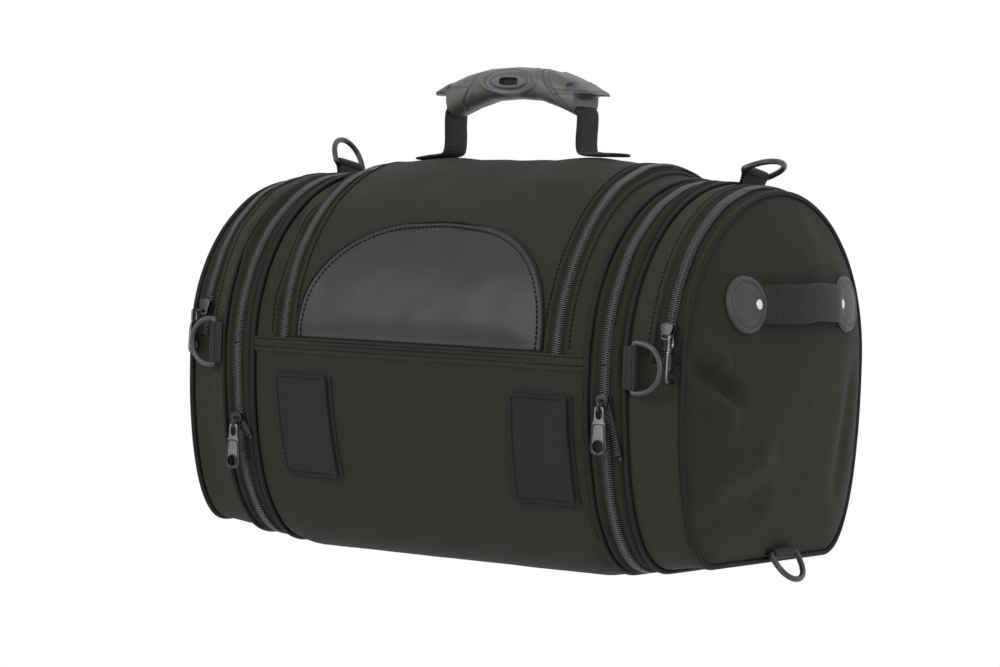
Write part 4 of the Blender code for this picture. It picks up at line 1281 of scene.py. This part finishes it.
def slot_depth(dx, z):
    """Above 0 inside the small rectangular recess at the grip's middle."""
    square = (np.abs(dx / SLOT_HALF[0]) ** 4 + np.abs((z - OVAL_Z) / SLOT_HALF[1]) ** 4) ** 0.25
    return (1 - square) * SLOT_HALF[1]


def grip_relief(dx, z):
    """Moulded pattern on the grip's face."""
    outer, inner = oval(dx, z, 0.0215, 0.0079), oval(dx, z, 0.0163, 0.0054)
    height = 0.00060 * bump(outer, 0.0009) - 0.00055 * smooth(outer / 0.0014)
    height = height + 0.00075 * smooth(inner / 0.0009)
    height = height - 0.0020 * smooth(slot_depth(dx, z) / 0.0007 + 0.3)
    for start, end, depth, width in GROOVES:
        height = height - depth * bump(line_distance(dx, z, start, end), width)
    side_slot = np.hypot((dx - 0.0480) / 0.0032, (z - 0.3135) / 0.0019)
    height = height + 0.0005 * bump((side_slot - 1.25) * 0.0022, 0.0007)
    return RELIEF_GAIN * (height - 0.0016 * smooth((1 - side_slot) / 0.35))


def handle_grip():
    """Moulded grip: an oval tube through its stations, with the pattern raised on both faces."""
    shares = np.unique(np.concatenate([np.linspace(0, 0.74, 150), GRIP_STATIONS[:, 0],
                                       np.linspace(0.745, 0.762, 8), np.linspace(0.762, 1.0, 36)]))
    shares = np.concatenate([-shares[:0:-1], shares])
    s, t = crossed(shares, turns(144))
    top, under, wide = [np.interp(np.abs(s), GRIP_STATIONS[:, 0], GRIP_STATIONS[:, k]) for k in (1, 2, 3)]
    c, d = np.cos(t), np.sin(t)
    power = 2 / 2.5
    x = HANDLE_X + s * GRIP_HALF
    y = -wide * np.sign(c) * np.abs(c) ** power
    z = (top + under) / 2 + (top - under) / 2 * np.sign(d) * np.abs(d) ** power
    points = np.stack([x, y, z], -1)
    along = np.gradient(points, axis=0) / np.maximum(np.abs(np.gradient(s, axis=0)), 1e-6)[..., None]
    across = np.roll(points, -1, 1) - np.roll(points, 1, 1)
    along[(np.abs(s) > 0.743) & (np.abs(s) < 0.765)] = (1.0, 0.0, 0.0)     # the step under the boss
    normal = np.cross(along, across)
    normal /= np.maximum(np.linalg.norm(normal, axis=-1, keepdims=True), TINY)
    face = smooth((np.abs(c) - 0.12) / 0.25)
    relief = grip_relief(x - HANDLE_X, z) * face * smooth((0.90 - np.abs(s)) / 0.02)
    points = points + normal * relief[..., None]
    grip = grid("grip_body", points, [RUBBER, RUBBER_PAINTED_SHADE], closed=True)
    add_caps(grip.data)
    # Faces inside the middle slot take the near-black rubber copy: painted shade in the recess.
    for face in grip.data.polygons:
        x, y, z = face.center
        if slot_depth(x - HANDLE_X, z) > -0.0001 and abs(y) > 0.008:
            face.material_index = 1
    attach(grip, "carry_handle", ["handle_grip"])


def add_caps(mesh):
    """Close every open edge loop of a tube."""
    bm = bmesh.new()
    bm.from_mesh(mesh)
    bmesh.ops.holes_fill(bm, edges=[e for e in bm.edges if e.is_boundary], sides=0)
    bm.to_mesh(mesh)
    bm.free()


# ------------------------------------------------------------------ grab straps on the doors
PATCH_Y, PATCH_Z, PATCH_R = 0.0612, 0.176, 0.0170
GRAB_WIDTH = 0.0242
RIVET_Y = 0.0510
STRAP_LIFT, STRAP_BOW = 0.0028, 0.0108
PATCH_ROW_IN = 0.0031      # its stitches' distance from the patch's edge


def over_strap(y, z, y_side):
    """How far a patch is raised by the strap's end beneath it."""
    inward = smooth((-(y * y_side - PATCH_Y) / PATCH_R - 0.35) / 0.5)
    return 0.0016 * inward * bump(z - PATCH_Z, 0.011)


def end_patch(name, side, y_side):
    """Round patch with a row of stitches and a rivet, over one end of the grab strap."""
    share = np.concatenate([[1.0, 0.985, 0.96], np.linspace(0.93, 0.04, 24)])
    s, a = crossed(share, turns(96))
    edge = PATCH_R * (1 - s)
    lift = 0.00165 * smooth(edge / 0.0008) + 0.0005 * smooth(edge / 0.010)
    lift = lift - 0.00055 * bump(edge - PATCH_ROW_IN, 0.0007) + 0.0003 * bump(edge - 0.0016, 0.0009)
    y = y_side * PATCH_Y + PATCH_R * s * np.cos(a)
    z = PATCH_Z + PATCH_R * s * np.sin(a)
    lift = lift + over_strap(y, z, y_side)
    lift = lift - 0.0006 * bump(np.hypot(y - y_side * RIVET_Y, z - PATCH_Z), 0.0050)
    points, _ = dome_yz(side, y, z, lift)
    middle = dome_yz(side, np.array([y_side * PATCH_Y]), np.array([PATCH_Z]), np.array([0.00215]))[0][0]
    patch = polar("grab_patch_" + name, points, middle, PATCH, side < 0)
    thicken(patch, 0.0012, inner=0)
    body = "door_" + ("left" if side < 0 else "right")
    attach(patch, body, ["end_patch_" + name])
    angle = np.linspace(0, 2 * math.pi, 120)
    row_y = y_side * PATCH_Y + (PATCH_R - PATCH_ROW_IN) * np.cos(angle)
    row_z = PATCH_Z + (PATCH_R - PATCH_ROW_IN) * np.sin(angle)
    row = dome_yz(side, row_y, row_z, 0.0018 + over_strap(row_y, row_z, y_side))
    stitch_rows("grab_patch_stitches_" + name, [row], THREAD, body)
    place, normal = dome_yz(side, np.array([y_side * RIVET_Y]), np.array([PATCH_Z]), np.array([0.0024]))
    turn = Vector(normal[0]).to_track_quat("Z", "Y").to_matrix().to_4x4()
    rivet("grab_rivet_" + name, Matrix.Translation(place[0]) @ turn, 0.0041, 0.0016, body)


def grab_strap(name, side):
    """Webbing from patch to patch, bowed out between them."""
    half = PATCH_Y - 0.004
    y = np.linspace(-half, half, 60)
    free = PATCH_Y - PATCH_R + 0.002
    lift = np.where(np.abs(y) < free, STRAP_BOW * np.maximum(1 - (y / free) ** 2, 0) ** 0.75, 0.0)
    lift = lift + STRAP_LIFT * smooth((half + 0.004 - np.abs(y)) / 0.012)
    lift = lift - 0.0020 * smooth((np.abs(y) - free) / 0.006)
    path = refine(rounded(dome_yz(side, y, np.full_like(y, PATCH_Z), lift)[0], 2))
    low, high = [dome_yz(side, path[:, 1], np.full(len(path), PATCH_Z + dz))[0] for dz in (-0.010, 0.010)]
    tangent = frames_along(path, high - low)[0]
    outward = np.cross(high - low, tangent)
    outward *= np.sign(outward[:, :1]) * side
    section = strap_outline(GRAB_WIDTH, 0.0020)
    strap = loft("grab_strap_" + name, path, section, WEB_FINE, outward, scale=ribs(path))
    attach(strap, "door_" + name, ["end_handle_" + name])


# ------------------------------------------------------------------ D-rings
RING_HALF, RING_REACH, RING_SQUARE = 0.0154, 0.0194, 0.75
WIRE_R = 0.0019
LOOP_EYE = 0.0033
LOOP_THICK = 0.0014
FRONT_RING = (0.1675, -0.1202, 0.136)
TOP_RING = (0.166, 0.018, 0.2585)
TOP_ROLL = 9.0             # degrees, as the lean and the tilt are
BOTTOM_RING = (0.2038, 0.005, 0.018)
BOTTOM_TILT = 35.5
TOP_LEAN = {"right": 22.0, "left": 66.0}
TOP_LOOP = (0.20, 0.0, 0.98)
FRONT_TAIL, TOP_TAIL, BOTTOM_TAIL = 0.0068, 0.0105, 0.0060


def axes(origin, u, v):
    """Matrix whose X lies along u and Y near v."""
    u = Vector(u).normalized()
    w = u.cross(Vector(v)).normalized()
    v = w.cross(u)
    matrix = Matrix((u, v, w)).transposed().to_4x4()
    matrix.translation = origin
    return matrix


def placed(matrix, points):
    return np.array([tuple(matrix @ Vector(p)) for p in points])


def d_ring(name, pivot, bar, reach):
    """Wire ring whose straight bar lies at the pivot."""
    matrix = axes(pivot, reach, bar)
    straight = [(0.0, RING_HALF * share, 0.0) for share in (1.0, 0.8, 0.0, -0.8, -1.0)]
    bow = [(RING_REACH * math.cos(angle) ** RING_SQUARE, RING_HALF * math.sin(angle), 0.0)
           for angle in np.linspace(-math.radians(84), math.radians(84), 40)]
    path = placed(matrix, rounded_loop(straight + bow))
    up = np.broadcast_to(np.array(matrix.col[2][:3]), path.shape)
    wire = loft("ring_" + name + "_wire", path, ring_outline(WIRE_R, 16), BLACK_WIRE, up, closed=True)
    attach(wire, "ring_" + name, ["d_ring_" + name])


def ring_loop(name, pivot, bar, along, tail, spread_out):
    """Webbing folded round the ring's bar, sewn across behind it."""
    matrix = axes(pivot, along, Vector(bar).cross(Vector(along)))
    radius = LOOP_EYE - LOOP_THICK / 2
    turn = np.linspace(-2.55, 2.55, 40)
    fold = [(-tail, -LOOP_THICK * 0.55 - spread_out), (-tail * 0.75, -LOOP_THICK * 0.60)]
    fold += [(radius * math.cos(a), radius * math.sin(a)) for a in turn]
    fold += [(-tail * 0.75, LOOP_THICK * 0.60), (-tail, LOOP_THICK * 0.55 + spread_out)]
    path = refine(rounded([(u, v, 0.0) for u, v in fold], 2))
    slope = np.gradient(path, axis=0)
    outward = np.stack([-slope[:, 1], slope[:, 0], path[:, 0] * 0], -1)
    world = placed(matrix, path)
    up = placed(matrix, outward) - np.array(matrix.translation)
    strap = loft("ring_strap_" + name, world, strap_outline(WEBBING, LOOP_THICK), WEB, up,
                 scale=ribs(path, 0.20, LOOP_RIB))
    side = name.split("_")[1]
    attach(strap, "end_pocket_" + side, ["ring_loop_" + name])


def rings(name, side):
    """The three D-rings of one end and their webbing loops."""
    upright, crosswise, outward = (0, 0, 1), (0, 1, 0), (side, 0, 0)
    x, y, z = FRONT_RING
    d_ring("front_" + name, (side * x, y, z), upright, outward)
    ring_loop("front_" + name, (side * x, y, z), upright, outward, FRONT_TAIL, 0.0)
    x, y, z = TOP_RING
    lean = math.radians(TOP_LEAN[name])
    roll = Matrix.Rotation(-math.radians(TOP_ROLL), 3, "X")
    bar = roll @ Vector(crosswise)
    d_ring("top_" + name, (side * x, y, z), bar, roll @ Vector((side * math.cos(lean), 0, math.sin(lean))))
    along = roll @ Vector((side * TOP_LOOP[0], 0, TOP_LOOP[2]))
    ring_loop("top_" + name, (side * x, y, z), bar, along, TOP_TAIL, 0.0012)
    x, y, z = BOTTOM_RING
    tilt = math.radians(BOTTOM_TILT)
    d_ring("bottom_" + name, (side * x, y, z), crosswise, (side * math.sin(tilt), 0, -math.cos(tilt)))
    ring_loop("bottom_" + name, (side * x, y, z), crosswise, outward, BOTTOM_TAIL, 0.0)


# ------------------------------------------------------------------ sliders and pulls
SHARP = math.radians(40)   # edges sharper than this stay hard


def plate(name, outlines, thickness, edge, matrix, mat):
    """Flat part with rounded edges; the outlines after the first are holes."""
    curve = bpy.data.curves.new(name, "CURVE")
    curve.dimensions = "2D"
    curve.fill_mode = "BOTH"
    curve.extrude = thickness / 2 - edge
    curve.bevel_depth = edge
    curve.bevel_resolution = 2
    curve.offset = -edge
    for outline in outlines:
        spline = curve.splines.new("POLY")
        spline.points.add(len(outline) - 1)
        spline.points.foreach_set("co", [c for p in outline for c in (p[0], p[1], 0.0, 1.0)])
        spline.use_cyclic_u = True
    holder = linked(name + "_curve", curve)
    bpy.context.view_layer.update()
    solid = bpy.data.meshes.new_from_object(holder.evaluated_get(bpy.context.evaluated_depsgraph_get()))
    bpy.data.objects.remove(holder)
    bpy.data.curves.remove(curve)
    bm = bmesh.new()
    bm.from_mesh(solid)
    bmesh.ops.remove_doubles(bm, verts=bm.verts, dist=0.00002)
    bmesh.ops.recalc_face_normals(bm, faces=bm.faces)
    bm.transform(matrix)
    bm.to_mesh(solid)
    bm.free()
    solid.name = name
    solid.materials.clear()
    solid.materials.append(mat)
    solid.shade_smooth()
    solid.set_sharp_from_angle(angle=SHARP)
    return linked(name, solid)


def mirrored(half_outline):
    """Both halves of an outline that is given on its +X side."""
    return [(-u, v) for u, v in reversed(half_outline)] + list(half_outline)


def circle(centre, radius, count):
    return [(centre[0] + radius * math.cos(a), centre[1] + radius * math.sin(a))
            for a in turns(count)]


SLIDER_LENGTH, SLIDER_HALF = 0.0122, 0.00485
SLIDER_HEIGHT = 0.0040


def slider_body(name, base, normal, up, body, replaced):
    """Two shaped plates joined at the nose, a bridge for the pull between them and its seat."""
    matrix = axes(base, Vector(normal).cross(Vector(up)), normal)
    flat = matrix @ Matrix(((1, 0, 0, 0), (0, 0, 1, 0), (0, 1, 0, 0), (0, 0, 0, 1)))
    length, half = SLIDER_LENGTH / 2, SLIDER_HALF
    shape = mirrored([(half * 0.40, -length), (half * 0.72, -length * 0.86), (half * 0.74, -length * 0.20),
                      (half, length * 0.30), (half * 0.98, length * 0.80), (half * 0.45, length)])
    shape = rounded_loop(shape)
    parts = []
    for low, thick, grow in ((0.0002, 0.0011, 1.0), (SLIDER_HEIGHT - 0.0013, 0.0013, 0.94)):
        place = flat @ Matrix.Translation((0, 0, low + thick / 2))
        parts.append(plate(name + "_plate", [shape * grow], thick, 0.00035, place, METAL))
    core = rounded_loop([(-half * 0.30, -length * 0.2), (half * 0.30, -length * 0.2),
                         (half * 0.42, length * 0.86), (-half * 0.42, length * 0.86)])
    place = flat @ Matrix.Translation((0, 0, SLIDER_HEIGHT / 2))
    parts.append(plate(name + "_core", [core], SLIDER_HEIGHT * 0.8, 0.0003, place, METAL))
    join(name + "_body", parts, body, replaced)
    return matrix


def join(name, parts, body, replaced):
    """Closed metal shells of one part, made one mesh that keeps their materials."""
    mats = []
    bm = bmesh.new()
    for part in parts:
        mat = part.data.materials[0]
        if mat not in mats:
            mats.append(mat)
        before = len(bm.faces)
        bm.from_mesh(part.data)
        bm.faces.ensure_lookup_table()
        for face in bm.faces[before:]:
            face.material_index = mats.index(mat)
    mesh = bpy.data.meshes.new(name)
    bm.to_mesh(mesh)
    bm.free()
    for mat in mats:
        mesh.materials.append(mat)
    mesh.shade_smooth()
    mesh.set_sharp_from_angle(angle=SHARP)
    for part in parts:
        bpy.data.objects.remove(part)
    attach(linked(name, mesh), body, replaced)


EYE_OUT, EYE_DOWN = 0.0056, 0.0020


def bridge(name, matrix, body):
    """Arched loop on the slider that the pull hangs from, in its plane of travel."""
    path = [(0.0, SLIDER_HEIGHT - 0.0004, 0.0024), (0.0, SLIDER_HEIGHT + 0.0012, 0.0026),
            (0.0, EYE_OUT + 0.0018, 0.0010), (0.0, EYE_OUT + 0.0020, -EYE_DOWN),
            (0.0, EYE_OUT + 0.0012, -EYE_DOWN - 0.0022), (0.0, SLIDER_HEIGHT + 0.0004, -EYE_DOWN - 0.0026),
            (0.0, SLIDER_HEIGHT - 0.0004, -EYE_DOWN - 0.0024)]
    path = placed(matrix, rounded(path))
    across = np.broadcast_to(np.array(matrix.col[0][:3]), path.shape)
    loop = loft(name + "_bridge", path, strap_outline(0.0011, 0.0017, 3.0, 14), METAL, across)
    attach(loop, body)


PULL_SHAPE = ((0.0030, -0.0292), (0.0052, -0.0276), (0.0058, -0.0243), (0.0055, -0.0205), (0.0048, -0.0120),
              (0.0046, -0.0094), (0.0036, -0.0084), (0.0035, -0.0040), (0.0035, -0.0002), (0.0024, 0.0009))
PULL_WINDOW = ((0.0024, -0.0072), (0.0024, -0.0008))
PULL_HOLE = (0.0, -0.0238)
PULL_HOLE_R = 0.0036
PULL_THICK, RIM_THICK = 0.0013, 0.0020


def pull(name, pivot, across, up, body, replaced, narrow=1.0):
    """Flat tab: two arms round the bridge, a raised rim and a wide hole near its tip."""
    shape = rounded_loop(mirrored([(x * narrow, y) for x, y in PULL_SHAPE]))
    window = rounded_loop(mirrored([(x * narrow, y) for x, y in PULL_WINDOW])[::-1])
    hole = circle(PULL_HOLE, PULL_HOLE_R * narrow, 32)
    matrix = axes(pivot, across, up)
    tab = plate(name + "_tab", [shape, window, hole], PULL_THICK, 0.00025, matrix, PULL_METAL)
    low, high = PULL_SHAPE[0][1] + 0.0002, PULL_SHAPE[5][1] - 0.0003
    edge = [(x * narrow * 0.97, y) for x, y in PULL_SHAPE[:5]] + [(PULL_SHAPE[5][0] * narrow * 0.93, high)]
    rim = rounded_loop(mirrored(edge))
    middle = (low + high) / 2
    inner = [(x * 0.80, (y - middle) * 0.91 + middle) for x, y in rim]
    raised = plate(name + "_rim", [rim, inner], RIM_THICK, 0.0002, matrix, METAL)
    around = circle(PULL_HOLE, PULL_HOLE_R * narrow + 0.0007, 32)
    eyelet = plate(name + "_eyelet", [around, hole], RIM_THICK, 0.0002, matrix, METAL)
    join(name, [tab, raised, eyelet], body, replaced)


EXPANSION_SLIDER_Z = {"left": 0.0845, "right": 0.1130}
END_SLIDER_DEGREES = 11.3
END_PULL_X = 0.1906
LID_SLIDER = (0.0900, 0.1211, 0.1432)
# where each pull hangs on its slider, as in the CAD
PIVOTS = {
    "expansion_pull_left": (-0.147, -0.12207, 0.08153),
    "expansion_pull_right": (0.147, -0.12517, 0.11068),
    "lid_pull": (0.090, 0.1267, 0.1412),
    "end_pull_left": (-END_PULL_X, -0.11403, 0.15623),
    "end_pull_right": (END_PULL_X, -0.11403, 0.15623),
}


def expansion_slider(name, side):
    """The expansion zip's slider and pull, hanging on the bag's front."""
    z = EXPANSION_SLIDER_Z[name]
    spots = bare_point(side * EXPANSION_ZIP_X, angle_at(np.array([z, z + 0.004]), EXPANSION_ZIP_X))
    up = Vector(spots[1] - spots[0]).normalized()
    normal = up.cross(Vector((-1, 0, 0)))
    base = Vector(spots[0]) + normal * 0.0006
    label = "expansion_slider_" + name
    bridge(label, slider_body(label, base, normal, up, label, [label]), label)
    body = "expansion_pull_" + name
    pull("expansion_tab_" + name, PIVOTS[body], (1, 0, 0), (0, 0, 1), body, [body])


def lid_slider():
    """The lid zip's slider and pull, on its rear run."""
    body = "lid_zip_slider"
    matrix = slider_body("lid_slider", LID_SLIDER, (0, 1, 0), (0, 0, 1), body, ["lid_slider"])
    bridge("lid_slider", matrix, body)
    pull("lid_tab", PIVOTS["lid_pull"], (1, 0, 0), (0, 0, 1), "lid_zip_pull", ["lid_pull"])


def end_slider(name, side):
    """The end pocket's slider, its pull hanging edge-on from a pin beside it."""
    label = "end_slider_" + name
    at, out = bag(np.array([side * END_ZIP_X]), np.array([END_SLIDER_DEGREES]), 0.0002)
    normal = Vector((0, out[0][1], out[0][2])).normalized()
    up = normal.cross(Vector((1, 0, 0)))
    up = up if up.z > 0 else -up
    slider_body(label, Vector(at[0]), normal, up, label, [label])
    body = "end_pull_" + name
    pivot = Vector(PIVOTS[body])
    start = Vector((side * (END_ZIP_X - 0.0008), pivot.y, pivot.z))
    pin = np.array([tuple(start), tuple(pivot + Vector((side * 0.0014, 0, 0)))])
    attach(loft(label + "_pin", pin, ring_outline(0.0009, 16), METAL), label)
    outer = pivot + Vector((0, -0.0008, 0))
    pull("end_tab_" + name, outer, (0, 1, 0), (0, 0, 1), body, [body], 0.80)


# side, body, way the teeth point, path down the front (x, z)
LOOSE_COILS = (
    ("right", "end_pocket_right", 1,
     ((0.1498, 0.1130), (0.1528, 0.1040), (0.1549, 0.0940), (0.1562, 0.0860), (0.1572, 0.0800))),
    ("left", "centre", 1,
     ((-0.1445, 0.0850), (-0.1412, 0.0820), (-0.1385, 0.0785), (-0.1372, 0.0745))),
)


def loose_coil(name, body, side, path):
    """Unfastened end of one half of the expansion zip, hanging beside the slider."""
    path = rounded(path)
    points, normals = bag(path[:, 0], angle_at(path[:, 1]), 0.0012)
    teeth("loose_coil_" + name, points[::-1], normals[::-1], -side, COIL, body)
    cord = loft("loose_coil_cord_" + name, points + normals * 0.0002, ring_outline(0.0011, 10), TAPE, normals)
    attach(cord, body)
    tip = points[-1] + normals[-1] * 0.0006
    onward = points[-1] - points[-4]
    stop = np.array([tip, tip + onward / np.linalg.norm(onward) * 0.0024])
    end = loft("loose_coil_stop_" + name, stop, ring_outline(0.0015, 12), METAL)
    attach(end, body)


# ------------------------------------------------------------------ hook-and-loop pads
# name, left edge, bottom, top, phase of the flap's wave, lean of its sides
PADS = (("left", -0.1136, 0.0520, 0.1180, 0.4, 0.085), ("right", 0.0765, 0.0480, 0.1155, 2.0, 0.015))
PAD_WIDTH = 0.0440
PAD_CORNER = 0.0016
PAD_ROW_IN = 0.0022        # its stitches' distance from the flap's edges
PAD_THICK, FLAP_THICK = 0.0012, 0.0014


def pad_sheet(name, left, right, low, high, slant, lift, thickness):
    """A rectangular patch on the bag's front; lift(x share, z share) is its height."""
    u = spaced([0.0, 1.0], 0.03, 0.008)
    v = spaced([0.0, 1.0], 0.02, 0.005)
    s, t = crossed(u, v)
    width, height = right - left, high - low
    near = np.minimum(t, 1 - t) * height
    rest = np.maximum(PAD_CORNER - near, 0)
    inset = PAD_CORNER - np.sqrt(np.maximum(PAD_CORNER ** 2 - rest ** 2, 0))
    x = left + inset + s * (width - 2 * inset) + slant * (1 - t) * height
    z = low + t * height + 0.0004 * ripple(s * 3, 0, 0, 0.8, 81) * (2 * t - 1) ** 8
    points, _ = bag(x, angle_at(z), lift(s, t) + thickness)
    return thicken(grid(name, points, LOOP_PILE), thickness, inner=0)


def hook_pad(name, left, low, high, phase, slant):
    """Backing sewn to the bag and the flap that peels off it."""
    right = left + PAD_WIDTH
    base = pad_sheet("pad_backing_" + name, left + 0.0008, right + 0.0026, low - 0.0006, high + 0.0004,
                     slant, lambda s, t: 0.0001 + 0.0002 * ripple(s * 2, t * 3, 0, 1.0, 91), PAD_THICK)
    attach(base, "centre", ["pad_base_" + name])

    def curl(s, t):
        away = smooth((s - 0.55) / 0.45)
        wave = 0.6 + 0.22 * np.cos(t * math.pi * 1.6 + phase)
        return 0.0014 + 0.0019 * away * wave + 0.0004 * bump(s - 0.5, 0.3)

    flap = pad_sheet("pad_flap_" + name + "_sheet", left, right, low, high, slant, curl, FLAP_THICK)
    attach(flap, "flap_" + name, ["pad_flap_" + name])
    z = np.linspace(low + 0.002, high - 0.002, 80)
    rows = [bag(left + PAD_ROW_IN + slant * (high - z), angle_at(z), 0.0029)]
    across = np.linspace(left + 0.003, right - 0.003, 60)
    for height in (low + PAD_ROW_IN, high - PAD_ROW_IN):
        lift = curl((across - left) / PAD_WIDTH, (height - low) / (high - low))
        rows.append(bag(across + slant * (high - height), angle_at(height), lift + 0.00145))
    stitch_rows("pad_stitches_" + name, rows, PAD_THREAD, "flap_" + name)


# ------------------------------------------------------------------ build
centre_shell()
lid_shell()
seam_band()
vinyl_panel()
lid_zip()
handle_strap()
handle_grip()
for label, sign in SIDES:
    piping("main_piping_cord_" + label, sign * MAIN_PIPING_X, "centre", ["main_piping_" + label])
    piping("end_piping_cord_" + label, sign * END_PIPING_X, "end_pocket_" + label, ["end_piping_" + label])
    expansion_zip(label, sign)
    end_band(label, sign)
    end_zip(label, sign)
    door_lip(label, sign)
    end_panel(label, sign)
    end_patch("front_" + label, sign, -1)
    end_patch("rear_" + label, sign, 1)
    grab_strap(label, sign)
    rings(label, sign)
    expansion_slider(label, sign)
    end_slider(label, sign)
for coil in LOOSE_COILS:
    loose_coil(*coil)
lid_slider()
for pad in PADS:
    hook_pad(*pad)


# ------------------------------------------------------------------ CAD pieces left in view
for label, mat in (("divider_left", LINING), ("divider_right", LINING), ("base_board", BOARD)):
    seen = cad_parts[label].data.materials
    seen.clear()
    seen.append(mat)


# ------------------------------------------------------------------ studio
def area_light(name, place, aim, size, power):
    data = bpy.data.lights.new(name, "AREA")
    data.shape = "RECTANGLE"
    data.size, data.size_y = size
    data.energy = power
    lamp = linked(name, data)
    lamp.location = place
    lamp.rotation_euler = (Vector(aim) - Vector(place)).to_track_quat("-Z", "Y").to_euler()


area_light("key", (-0.8, -2.1, 1.0), (0, 0, 0.12), (1.1, 0.9), 22.0)
area_light("fill", (2.5, -1.5, 0.9), (0, 0, 0.12), (1.0, 1.0), 17.0)
area_light("top", (0.2, 0.5, 2.4), (0, 0, 0.1), (1.6, 1.2), 5.0)

world = bpy.data.worlds.new("studio_air")
bpy.context.scene.world = world
world.use_nodes = True
background = world.node_tree.nodes["Background"].inputs
background["Color"].default_value = (1.0, 1.0, 1.0, 1.0)
background["Strength"].default_value = 1.0

CAMERA_PLACE = (1.213, -1.725, 0.224)
CAMERA_AIM = (-0.0187, 0.0, 0.147)
CAMERA_ROLL = 1.8          # degrees
lens = bpy.data.cameras.new("photo_view")
lens.lens = 113.4          # millimetres, as the sensor's width is
lens.sensor_width = 36.0
camera = linked("photo_view", lens)
camera.location = CAMERA_PLACE
camera.rotation_mode = "QUATERNION"
camera.rotation_quaternion = ((Vector(CAMERA_AIM) - Vector(CAMERA_PLACE)).to_track_quat("-Z", "Y")
                              @ Quaternion((0, 0, 1), math.radians(CAMERA_ROLL)))
bpy.context.scene.camera = camera
bpy.context.scene.view_settings.view_transform = "Standard"
